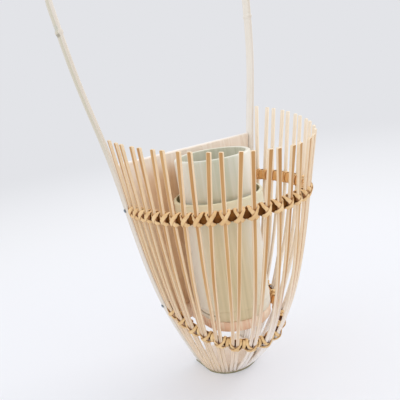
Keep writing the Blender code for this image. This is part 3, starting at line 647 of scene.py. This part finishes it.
def wood_material(name, light, dark, line, grain_scale, painted_top_light=None, tube_shadow_colour=None):
    """Planed wood with long rings and fine pores; the grain runs up the piece. A board with
    painted light is paler towards its top, with a painted highlight along its top edge, and a
    brownish painted shadow on its face behind the tube."""
    n = Nodes(name)
    position = n.position()
    wide = n.noise(position, (grain_scale, grain_scale, grain_scale * 0.10), 3.0, 0.5, 0.6)
    rings = n.math("FRACT", n.times(wide, 9.0))
    rings = n.range(rings, 0.0, 0.9)
    pores = n.noise(position, (2600.0, 2600.0, 90.0), 3.0)
    dirt = n.noise(position, (40.0, 40.0, 40.0), 3.0)
    colour = n.mix(rings, light, dark)
    colour = n.fade(pores, 0.55, 0.8, colour, line, 0.45)
    colour = n.fade(dirt, 0.55, 0.8, colour, line, 0.25)
    if painted_top_light:
        across, back, up = n.split(position)
        # Painted light: paler towards the top, and a painted highlight on the top edge.
        colour = n.fade(up, BOARD_TOP_HEIGHT - 0.030, BOARD_TOP_HEIGHT - 0.004, colour, painted_top_light, 0.3)
        colour = n.fade(up, BOARD_TOP_HEIGHT - 0.0008, BOARD_TOP_HEIGHT, colour, painted_top_light, 0.8)
        # Painted shadow of the tube on the board's face.
        aside = n.math("ABSOLUTE", across)
        tube_shadow = n.times(n.range(aside, 0.028, 0.048, 1.0, 0.0),
                         n.range(up, 0.150, 0.166, 1.0, 0.0))
        tube_shadow = n.times(tube_shadow, n.range(back, BACK_Y + 0.001, BACK_Y + 0.002, 1.0, 0.0))
        colour = n.mix(n.times(tube_shadow, 0.60), colour, tube_shadow_colour, "MULTIPLY")
    height = n.math("ADD", n.times(rings, 0.25), n.times(pores, 0.75))
    return n.finish(colour, n.range(pores, 0.3, 0.8, 0.55, 0.78),
                    n.bump(height, 0.00015, 0.5), 0.3)


def steel_material():
    n = Nodes("nail_steel_worn")
    position = n.position()
    spots = n.noise(position, (2400.0, 2400.0, 2400.0), 3.0)
    colour = n.fade(spots, 0.4, 0.7, rgb(122, 134, 146), rgb(164, 174, 182))
    material = n.finish(colour, n.range(spots, 0.3, 0.8, 0.35, 0.6), n.bump(spots, 0.00005, 0.5))
    n.shader.inputs["Metallic"].default_value = 0.9
    return material


def foot_material():
    """Bamboo foot: olive skin round its rim, pale cut end on top and below."""
    n = Nodes("foot_bamboo_cut")
    position = n.position()
    facing = n.outward(-0.002)
    fibres = n.noise(position, (900.0, 900.0, 120.0), 3.0)
    dots = n.noise(position, (1500.0, 1500.0, 300.0), 3.0)
    cut = n.fade(dots, 0.4, 0.7, rgb(246, 236, 224), rgb(238, 222, 204))
    skin = n.fade(fibres, 0.35, 0.7, rgb(128, 124, 92), rgb(158, 150, 116))
    rim = n.range(n.split(position)[2], FOOT_PLATE_HEIGHT, FOOT_PLATE_HEIGHT + 0.0002, 1.0, 0.0)
    colour = n.mix(n.times(n.range(facing, 0.4, 0.8), rim), cut, skin)
    return n.finish(colour, n.range(dots, 0.3, 0.8, 0.45, 0.7), n.bump(dots, 0.0001, 0.5), 0.35)


STICK_SKIN = stick_material()
LASHING_CANE = cane_material("lashing_strand", rgb(246, 206, 156), rgb(218, 165, 106),
                             rgb(222, 152, 86), 0.34)
KNOT_CANE = cane_material("lashing_knot", rgb(246, 208, 156), rgb(206, 154, 96),
                          rgb(214, 156, 98), 0.36)
HOOP_CANE = hoop_material()
CULM_SKIN = culm_material()
HANDLE_SKIN = pale_bamboo_material("handle_strip", rgb(244, 238, 230), rgb(237, 229, 216),
                                   rgb(222, 207, 184), 14.0, 0.10, rgb(245, 242, 238),
                                   skin=rgb(228, 230, 214))
RING_SKIN = pale_bamboo_material("holder_ring", rgb(243, 244, 227), rgb(236, 236, 212),
                                 rgb(220, 210, 180), 40.0, 0.6, rgb(248, 236, 222),
                                 rgb(132, 122, 80))
PEG_SKIN = wood_material("peg_wood", rgb(222, 196, 152), rgb(204, 172, 124), rgb(160, 124, 84),
                         160.0)
BOARD_WOOD = wood_material("board_planed", rgb(244, 227, 208), rgb(235, 214, 190),
                           rgb(212, 176, 140), 42.0, rgb(254, 250, 248), rgb(232, 188, 130))
SHELF_WOOD = wood_material("shelf_planed", rgb(252, 232, 210), rgb(242, 206, 178),
                           rgb(204, 146, 112), 60.0)
FOOT_SKIN = foot_material()
NAIL_STEEL = steel_material()


# The sticks.

SECTION_SHARES = ((-1.0, -0.92), (-0.9, -1.0), (0.0, -1.0), (0.9, -1.0), (1.0, -0.92),
                  (1.0, 0.0), (1.0, 0.62), (0.86, 0.88), (0.48, 0.985), (0.0, 1.0),
                  (-0.48, 0.985), (-0.86, 0.88), (-1.0, 0.62), (-1.0, 0.0))


def build_stick(index):
    spline = stick_spline(index)
    step_share = 0.002
    left = stick_spline(index, -step_share)
    right = stick_spline(index, step_share)
    dice = np.random.default_rng(40 + index)
    phase = dice.uniform(0, 2 * math.pi, 4)
    top = spline.knots[-1]
    width_share = dice.uniform(0.95, 1.0)
    loops = []
    places = np.linspace(0.0, top, STICK_STATIONS)
    for place in places:
        centre = spline.at(place)
        upward = spline.direction(place)
        share = place / top
        across = right.at(share * right.knots[-1]) - left.at(share * left.knots[-1])
        if place == 0:
            angle = (2 * index / (STICK_COUNT - 1) - 1) * FOOT_STICK_HALF_ANGLE
            outward = np.array([math.sin(angle), -math.cos(angle), 0.0])
            side = np.array([math.cos(angle), math.sin(angle), 0.0])
        else:
            outward = unit(np.cross(across, upward))
            side = np.cross(upward, outward)
        half = np.interp(place, spline.knots, STICK_WIDTHS) / 2 * width_share
        half *= 1 - 0.03 * (1 + math.sin(place * 90 + phase[0]))
        deep = np.interp(place, spline.knots, STICK_DEPTHS) / 2
        free = math.sin(math.pi * min(max((share - 0.34) / 0.36, 0), 1))
        centre = centre + side * 0.00016 * free * math.sin(place * 60 + phase[1])
        loops.append([centre + side * half * a + outward * deep * b for a, b in SECTION_SHARES])
    # The section starts at its back left corner, so turn it to put the skin's middle at a half.
    loops = [loop[2:] + loop[:2] for loop in loops]
    name = "split_stick_%02d" % (index + 1)
    item = swept(name, loops, places, start_v=index * 37.0, cap_inset=STICK_CUT_BEVEL,
                 cap_u=0.0)
    finish_piece(item, STICK_SKIN, "stick_%02d" % (index + 1))


for stick_index in range(STICK_COUNT):
    build_stick(stick_index)


# Hoops and lashings.


def rounded_section(width, depth, edge, steps=3):
    """Corners of a bar with rounded edges; first value along its width."""
    points = []
    w = width / 2 - edge
    d = depth / 2 - edge
    for corner, (sx, sy) in enumerate(((1, 1), (-1, 1), (-1, -1), (1, -1))):
        for i in range(steps + 1):
            angle = math.pi / 2 * (corner + i / steps)
            points.append((sx * w + edge * math.cos(angle), sy * d + edge * math.sin(angle)))
    return points


def build_hoop(name, curve, node):
    inset_share = HOOP_END_INSET / curve.length
    section = rounded_section(HOOP_OUTER - HOOP_INNER, HOOP_SEEN_HEIGHT, HOOP_EDGE)
    loops = []
    shares = np.linspace(inset_share, 1 - inset_share, HOOP_STATIONS)
    for share in shares:
        centre, _, outward, upward, _ = wall_frame(curve, share)
        middle = centre + outward * (HOOP_OUTER + HOOP_INNER) / 2
        loops.append([middle + outward * a + upward * b for a, b in section])
    item = swept(name, loops, shares * curve.length)
    finish_piece(item, HOOP_CANE, node)


build_hoop("hoop_band_lower", LOWER_CURVE, "lower_hoop")
build_hoop("hoop_band_upper", UPPER_CURVE, "upper_hoop")


def strand_rows(ridge, reach, pitch, thickness, rising, wrapped):
    """Key places of one turn, each with the way the strand's face looks: over the sticks
    outside, over the hoop's edge between them, and back round the hoop inside. A wrapped
    strand goes once more round the bare hoop on its way."""
    half = thickness / 2
    edge = HOOP_SEEN_HEIGHT / 2 + SNUG_GAP + half
    near = STICK_HALF_DEPTH + SNUG_GAP + half
    over = near + (thickness + SNUG_GAP if rising else 0.0)
    inside = HOOP_INNER - SNUG_GAP - half - (0.0 if rising else thickness + SNUG_GAP)
    middle = (HOOP_OUTER + HOOP_INNER) / 2
    corner = HOOP_INNER - 0.6 * half
    up = 1 if rising else -1
    crest = [(ridge, near - 0.0001, 0.55 * edge, 0.45, 0.9, 0.1),
             ((ridge + reach) / 2 + 0.0003, 0.0001, 0.84 * edge, 0.75, 0.6, 0.25),
             (reach, HOOP_OUTER + 0.0005, edge - 0.0001, 0.3, 0.6, 0.75),
             (reach, middle, edge, 0.0, 0.0, 1.0),
             (reach, corner, edge - 0.0005, 0.0, -0.8, 0.6)]
    before = [(-a, b, -up * c, -d, e, -up * f) for a, b, c, d, e, f in crest[2::-1]]
    after = [(a, b, up * c, d, e, up * f) for a, b, c, d, e, f in crest]
    back = [(pitch - a, b, -up * c, -d, e, -up * f) for a, b, c, d, e, f in crest[4:2:-1]]
    round_again = []
    if wrapped:
        outer = HOOP_OUTER + SNUG_GAP + half
        first = (reach + pitch / 2) / 2
        round_again = [(first, inside, 0.0, 0.0, -1.0, 0.0),
                       (first + 0.0004, middle, -edge, 0.0, 0.0, -1.0),
                       (pitch / 2 - 0.0003, outer, -0.5 * edge, 0.0, 1.0, -0.2),
                       (pitch / 2, outer + 0.0003, 0.0, 0.0, 1.0, 0.0),
                       (pitch / 2 + 0.0002, outer, 0.6 * edge, 0.0, 0.9, 0.3),
                       (pitch / 2 + 0.0003, middle, edge + 0.0001, 0.0, 0.0, 1.0)]
    turn_back = pitch / 2 if not wrapped else (3 * pitch / 2 - reach) / 2
    return (before + [(0.0, over, 0.0, 0.0, 1.0, 0.0)] + after + round_again
            + [(turn_back, inside, 0.0, 0.0, -1.0, 0.0)] + back)


def catmull(points, steps):
    """A smooth line through the points, with equal steps between neighbours."""
    padded = np.vstack([2 * points[0] - points[1], points, 2 * points[-1] - points[-2]])
    made = []
    for i in range(1, len(padded) - 2):
        p0, p1, p2, p3 = padded[i - 1], padded[i], padded[i + 1], padded[i + 2]
        for k in range(steps):
            t = k / steps
            made.append(0.5 * (2 * p1 + (p2 - p0) * t + (2 * p0 - 5 * p1 + 4 * p2 - p3) * t * t
                               + (3 * p1 - p0 - 3 * p2 + p3) * t ** 3))
    made.append(padded[-2])
    return np.array(made)


def build_lashing(name, curve, rising, node):
    if curve is UPPER_CURVE:
        shares = [upper_place(i) for i in range(STICK_COUNT)]
        ridge, reach, width, thickness = UPPER_STRAND
    else:
        shares = [pair_place(i) for i in range(STICK_COUNT // 2)]
        ridge, reach, width, thickness = LOWER_STRAND
    wrapped = rising and curve is LOWER_CURVE
    gaps = np.diff(shares) * curve.length
    dice = np.random.default_rng(7 if rising else 11)
    points = []
    normals = []
    widths = []
    for centre_share, pitch in zip(shares, list(gaps) + [gaps[-1]]):
        drift = dice.normal(0, STRAND_DRIFT, 2)
        own = width * dice.uniform(0.9, 1.04)
        for row in strand_rows(ridge, reach, pitch, thickness, rising, wrapped):
            along_by, out_by, up_by, normal_along, normal_out, normal_up = row
            share = centre_share + (along_by + drift[0]) / curve.length
            centre, along, outward, upward, stick_way = wall_frame(curve, min(max(share, 0), 1))
            points.append(centre + outward * out_by + stick_way * (up_by + drift[1] * 0.6))
            normals.append(unit(along * normal_along + outward * normal_out + upward * normal_up))
            widths.append(own * (0.78 if abs(normal_up) > 0.5 else 1.0))
    points = np.array(points[:-3])
    normals = np.array(normals[:-3])
    widths = np.array(widths[:-3])
    steps = 3
    line = catmull(points, steps)
    facing = catmull(normals, steps)
    wide = np.interp(np.arange(len(line)) / steps, np.arange(len(widths)), widths)
    outline = []
    for i in range(STRAND_SIDES):
        angle = 2 * math.pi * i / STRAND_SIDES - math.pi / 2
        c, s = math.cos(angle), math.sin(angle)
        outline.append((0.5 * math.copysign(abs(c) ** 0.6, c),
                        0.5 * math.copysign(abs(s) ** 0.7, s)))
    loops = []
    for i, point in enumerate(line):
        forward = unit(line[min(i + 1, len(line) - 1)] - line[max(i - 1, 0)])
        side = unit(np.cross(forward, facing[i]))
        outward = np.cross(side, forward)
        loops.append([point + side * wide[i] * a + outward * thickness * b for a, b in outline])
    item = swept(name, loops, path_lengths(line))
    material = LASHING_CANE if curve is UPPER_CURVE else KNOT_CANE
    finish_piece(item, material, node)


for hoop, hoop_curve in (("lower", LOWER_CURVE), ("upper", UPPER_CURVE)):
    for way in ("rising", "falling"):
        build_lashing("cane_strand_%s_%s" % (hoop, way), hoop_curve, way == "rising",
                      "%s_lashing_%s" % (hoop, way))


# Handle.

LEG_KNOTS = [(HANDLE_FOOT_HALF_WIDTH, FOOT_PLATE_HEIGHT + FIT_GAP),
             (abs(LOWER_CURVE.at(0.0)[0]) + FIT_GAP, LOWER_HOOP_LEVEL),
             (abs(UPPER_CURVE.at(0.0)[0]) + FIT_GAP, UPPER_HOOP_LEVEL),
             HANDLE_NECK, HANDLE_MIDDLE, HANDLE_SHOULDER]
LEG = Spline([(x, BACK_Y, z) for x, z in LEG_KNOTS])


def leg_place_at_height(height):
    low, high = LEG.knots[0], LEG.knots[-1]
    for _ in range(40):
        middle = (low + high) / 2
        if LEG.at(middle)[2] < height:
            low = middle
        else:
            high = middle
    return low


def build_handle():
    places = list(np.linspace(LEG.knots[0], LEG.knots[-1], 60))
    node = leg_place_at_height(HANDLE_NODE_HEIGHT)
    places = [p for p in places if abs(p - node) > 0.004]
    places += [node + step for step in np.linspace(-HANDLE_NODE_REACH, HANDLE_NODE_REACH, 13)]
    places.sort()
    right = [LEG.at(place) for place in places]
    swell = []
    for place in places:
        away = abs(place - node)
        swell.append(HANDLE_NODE_SWELL * math.exp(-(away / 0.0011) ** 2)
                     - HANDLE_NODE_DIP * math.exp(-((away - 0.0021) / 0.0008) ** 2))
    arch = []
    for i in range(1, 40):
        angle = math.pi / 2 * i / 40
        power = 2 / HANDLE_ARCH_ROUNDNESS_SHARE
        arch.append(np.array([HANDLE_SHOULDER[0] * math.cos(angle) ** power, BACK_Y,
                              HANDLE_SHOULDER[1] + HANDLE_ARCH_RISE * math.sin(angle) ** power]))
    right += arch
    swell += [0.0] * len(arch)
    crown = np.array([0.0, BACK_Y, HANDLE_SHOULDER[1] + HANDLE_ARCH_RISE])
    left = [point * np.array([-1.0, 1.0, 1.0]) for point in right]
    points = left + [crown] + right[::-1]
    swells = swell + [0.0] + swell[::-1]
    full = HANDLE_SHOULDER[1] - HANDLE_NECK[1]
    line = []
    for point in points:
        share = min(max((point[2] - HANDLE_NECK[1]) / full, 0.0), 1.0)
        line.append(point - np.array([HANDLE_SIDE_SHIFT * share * share, 0.0, 0.0]))
    line = np.array(line)
    back = np.array([0.0, 1.0, 0.0])
    loops = []
    for i, point in enumerate(line):
        if i in (0, len(line) - 1):
            forward = np.array([0.0, 0.0, 1.0 if i == 0 else -1.0])
        else:
            forward = unit(line[i + 1] - line[i - 1])
        outward = np.cross(forward, back) * -1
        section = rounded_section(HANDLE_WIDTH + swells[i], HANDLE_THICKNESS + 2 * swells[i],
                                  HANDLE_EDGE)
        loops.append([point + back * a + outward * b for a, b in section])
    item = swept("handle_strip_bent", loops, path_lengths(line))
    finish_piece(item, HANDLE_SKIN, "handle")


build_handle()


# Board, shelf, ring, tube and foot.


def slab_object(name, loops):
    """A flat piece through rows of points, with its sharp edges kept."""
    count = len(loops[0])
    vertices = [point for loop in loops for point in loop]
    faces = []
    for row in range(len(loops) - 1):
        for i in range(count):
            j = (i + 1) % count
            faces.append((row * count + i, row * count + j, (row + 1) * count + j,
                          (row + 1) * count + i))
    faces.append(tuple(range(count - 1, -1, -1)))
    last = (len(loops) - 1) * count
    faces.append(tuple(last + i for i in range(count)))
    item = mesh_object(name, vertices, faces)
    modifier = item.modifiers.new("sharp", "EDGE_SPLIT")
    modifier.split_angle = math.radians(40)
    return item


def build_board():
    clearance = HANDLE_THICKNESS / 2 + FIT_GAP
    outline = []
    for height in np.linspace(BOARD_BOTTOM_HEIGHT, BOARD_TOP_HEIGHT, 25):
        place = leg_place_at_height(height)
        upward = LEG.direction(place)
        outline.append((LEG.at(place)[0] - clearance / upward[2] - FIT_GAP, height))
    outline += [(-x, z) for x, z in outline[::-1]]
    stations = ((0.0, 0.0002, BOARD_EDGE), (0.0002, 0.0, BOARD_EDGE * 0.8),
                (BOARD_EDGE, 0.0, 0.0), (BOARD_THICKNESS - SMALL_BEVEL, 0.0, 0.0),
                (BOARD_THICKNESS, SMALL_BEVEL, SMALL_BEVEL))
    loops = []
    for depth, inset, lowered in stations:
        loop = []
        for x, z in outline:
            low = lowered if z == BOARD_TOP_HEIGHT else 0.0
            loop.append((x - math.copysign(inset, x), BACK_Y + depth, z - low))
        loops.append(loop)
    item = slab_object("board_panel", loops)
    finish_piece(item, BOARD_WOOD, "back_board")


def half_round(radius, side_x, centre_y, back_y, arc_sides):
    start = -math.acos(min(side_x / radius, 1.0))
    end = -math.pi - start
    outline = [(side_x, back_y)]
    for i in range(arc_sides + 1):
        angle = start + (end - start) * i / arc_sides
        outline.append((radius * math.cos(angle), centre_y + radius * math.sin(angle)))
    outline.append((-side_x, back_y))
    return outline


def drawn_in(outline, centre_y, height, inset):
    loop = []
    for x, y in outline:
        toward = Vector((-x, centre_y - y, 0.0)).normalized()
        loop.append((x + toward.x * inset, y + toward.y * inset, height))
    return loop


def build_shelf():
    bottom = TUBE_BASE_HEIGHT - FIT_GAP - SHELF_THICKNESS
    top = TUBE_BASE_HEIGHT - FIT_GAP
    outline = half_round(SHELF_RADIUS, SHELF_RADIUS, TUBE_AXIS_Y, BACK_Y - FIT_GAP, 72)
    stations = ((bottom, 0.0006), (bottom + 0.00025, 0.0002), (bottom + 0.0006, 0.0),
                (top - 0.0006, 0.0), (top - 0.00025, 0.0002), (top, 0.0006))
    item = slab_object("shelf_block", [drawn_in(outline, TUBE_AXIS_Y, height, inset)
                                       for height, inset in stations])
    finish_piece(item, SHELF_WOOD, "tube_shelf")


def build_ring():
    inner = RING_INNER
    outer = inner + RING_WALL
    low, high = RING_BOTTOM_HEIGHT, RING_TOP_HEIGHT
    rim = outer - RING_RIM
    profile = [(outer - 0.0004, low), (outer, low + 0.0004), (outer, low + 0.004),
               (outer, high - 0.004), (outer, high - 0.0008), (outer - 0.0003, high - 0.0003),
               (outer - 0.0007, high), (rim + 0.0003, high), (rim, high - 0.0003),
               (inner + 0.0006, high - RING_HOLLOW_DEPTH),
               (inner, high - RING_HOLLOW_DEPTH - 0.0008),
               (inner, low + 0.0004), (inner + 0.0004, low), (outer - 0.0004, low)]
    item = turned("holder_ring_turned", profile, (0.0, TUBE_AXIS_Y, 0.0), wobble=0.00004, seed=5)
    finish_piece(item, RING_SKIN, "tube_ring")


def build_tube():
    outer = TUBE_RADIUS
    inner = TUBE_RADIUS - TUBE_WALL
    node = TUBE_NODE_HEIGHT
    profile = [(0, 0), (outer * 0.5, 0), (outer - 0.0009, 0), (outer - 0.0002, 0.0003),
               (outer, 0.0009), (outer, node - 0.0022), (outer - 0.00022, node - 0.0014),
               (outer + 0.00008, node - 0.0007), (outer + 0.0003, node),
               (outer + 0.00008, node + 0.0006), (outer - 0.00015, node + 0.0011)]
    for i in range(1, 13):
        profile.append((outer, node + 0.0018 + (TUBE_HEIGHT - 0.0014 - node - 0.0018) * i / 12))
    profile += [(outer - 0.0002, TUBE_HEIGHT - 0.0006), (outer - 0.0006, TUBE_HEIGHT - 0.00015),
                (outer - 0.0010, TUBE_HEIGHT), (inner + 0.0008, TUBE_HEIGHT),
                (inner + 0.0003, TUBE_HEIGHT - 0.0002), (inner, TUBE_HEIGHT - 0.0008)]
    for i in range(1, 8):
        profile.append((inner, TUBE_HEIGHT - 0.0008 - (TUBE_HEIGHT - TUBE_FLOOR - 0.0030) * i / 7))
    profile += [(inner - 0.0006, TUBE_FLOOR + 0.0009), (inner - 0.0024, TUBE_FLOOR + 0.0001),
                (inner * 0.5, TUBE_FLOOR - 0.0002), (0, TUBE_FLOOR - 0.0003)]
    item = turned("culm_tube", profile, (0.0, TUBE_AXIS_Y, TUBE_BASE_HEIGHT), wobble=0.00006,
                  seed=3)
    finish_piece(item, CULM_SKIN, "water_tube", "tube")


def build_foot():
    reach = FOOT_STICK_RADIUS + STICK_DEPTHS[0] / 2 + 0.0001
    plate_side = HANDLE_FOOT_HALF_WIDTH + HANDLE_THICKNESS / 2 + 0.0001
    block_radius = FOOT_STICK_RADIUS - STICK_DEPTHS[0] / 2 - FIT_GAP
    block_side = HANDLE_FOOT_HALF_WIDTH - HANDLE_THICKNESS / 2 - FIT_GAP
    back = BACK_Y + BOARD_THICKNESS
    plate = half_round(reach, plate_side, 0.0, back, 72)
    block = half_round(block_radius, block_side, 0.0, back, 72)
    top = FOOT_PLATE_HEIGHT + FOOT_BLOCK_HEIGHT
    stations = ((plate, 0.0, SMALL_BEVEL), (plate, SMALL_BEVEL, 0.0),
                (plate, FOOT_PLATE_HEIGHT - SMALL_BEVEL, 0.0), (plate, FOOT_PLATE_HEIGHT, 0.0002),
                (block, FOOT_PLATE_HEIGHT, 0.0), (block, top - SMALL_BEVEL, 0.0),
                (block, top, SMALL_BEVEL))
    item = slab_object("foot_block", [drawn_in(outline, 0.0, height, inset)
                                      for outline, height, inset in stations])
    finish_piece(item, FOOT_SKIN, "foot")


build_board()
build_shelf()
build_ring()
build_tube()
build_foot()

for node_name, node_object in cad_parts.items():
    for word, material in (("_nail_", NAIL_STEEL), ("_peg", PEG_SKIN)):
        if word in node_name:
            node_object.data.materials.clear()
            node_object.data.materials.append(material)


# Floor, light and camera.

BACKDROP = rgb(227, 228, 232)


def seen_directly(tree):
    """One for rays that show the background itself: straight, glossy and transmitted ones."""
    path = tree.nodes.new("ShaderNodeLightPath").outputs
    total = path["Is Camera Ray"]
    for name in ("Is Glossy Ray", "Is Transmission Ray"):
        added = tree.nodes.new("ShaderNodeMath")
        tree.links.new(total, added.inputs[0])
        tree.links.new(path[name], added.inputs[1])
        total = added.outputs[0]
    return total


def build_floor():
    """A wide pale floor whose far part fades into the background's colour."""
    vertices = [(x * FLOOR_HALF_SIDE, y * FLOOR_HALF_SIDE, FLOOR_HEIGHT)
                for x, y in ((-1, -1), (1, -1), (1, 1), (-1, 1))]
    item = mesh_object("pale_floor", vertices, [(0, 1, 2, 3)])
    n = Nodes("pale_floor_paint")
    position = n.position()
    away = n.vector_math("LENGTH", position)["Value"]
    grain = n.noise(position, (6.0, 6.0, 6.0), 2.0, 0.55)
    colour = n.fade(grain, 0.3, 0.7, rgb(233, 234, 239), rgb(227, 228, 233), 0.06)
    n.finish(colour, 0.85, None, 0.2)
    glow = n.add("ShaderNodeEmission", {
        "Color": n.fade(away, 0.1, 1.4, rgb(247, 248, 252), BACKDROP)})
    share = n.times(seen_directly(n.tree), n.range(away, 0.06, 0.60, 0.22, 1.0))
    blend = n.add("ShaderNodeMixShader", {"Fac": share, 1: n.shader.outputs[0],
                                          2: glow.outputs[0]})
    n.put(n.tree.nodes["Material Output"].inputs["Surface"], blend.outputs[0])
    item.data.materials.append(n.material)


def area_light(name, place, target, power, colour):
    data = bpy.data.lights.new(name, "AREA")
    data.shape = "SQUARE"
    data.size = LAMP_SIZE
    data.energy = power
    data.color = colour
    item = placed(name, data)
    item.location = place
    item.rotation_euler = (Vector(target) - Vector(place)).to_track_quat("-Z", "Y").to_euler()


def build_light():
    world = bpy.data.worlds.new("studio")
    bpy.context.scene.world = world
    world.use_nodes = True
    tree = world.node_tree
    light = tree.nodes["Background"]
    light.inputs["Color"].default_value = (*rgb(252, 253, 255), 1.0)
    light.inputs["Strength"].default_value = WORLD_STRENGTH
    shown = tree.nodes.new("ShaderNodeBackground")
    shown.inputs["Color"].default_value = (*BACKDROP, 1.0)
    blend = tree.nodes.new("ShaderNodeMixShader")
    tree.links.new(seen_directly(tree), blend.inputs["Fac"])
    tree.links.new(light.outputs[0], blend.inputs[1])
    tree.links.new(shown.outputs[0], blend.inputs[2])
    tree.links.new(blend.outputs[0], tree.nodes["World Output"].inputs["Surface"])
    area_light("key_soft", (2.1, -0.40, 1.45), (0.0, -0.02, 0.10), 16.0, (1.0, 0.99, 0.97))
    area_light("fill_soft", (-2.1, 0.20, 0.95), (0.0, -0.02, 0.12), 2.0, (0.98, 0.99, 1.0))


def build_camera():
    cp, sp = math.cos(CAMERA_PITCH), math.sin(CAMERA_PITCH)
    ch, sh = math.cos(CAMERA_HEADING), math.sin(CAMERA_HEADING)
    forward = np.array([sh * cp, ch * cp, -sp])
    right = np.array([ch, -sh, 0.0])
    upward = np.cross(right, forward)
    cr, sr = math.cos(CAMERA_ROLL), math.sin(CAMERA_ROLL)
    turned_right = cr * right + sr * upward
    turned_up = -sr * right + cr * upward
    data = bpy.data.cameras.new("camera")
    data.sensor_width = SENSOR_WIDTH
    data.lens = FOCAL_PIXELS * SENSOR_WIDTH / IMAGE_PIXELS
    item = placed("camera", data)
    columns = (turned_right, turned_up, -forward, CAMERA_PLACE)
    rows = [[column[i] for column in columns] for i in range(3)]
    item.matrix_world = Matrix(rows + [[0.0, 0.0, 0.0, 1.0]])
    bpy.context.scene.camera = item


build_floor()
build_light()
build_camera()
bpy.context.scene.view_settings.view_transform = "Standard"

bpy.context.view_layer.update()
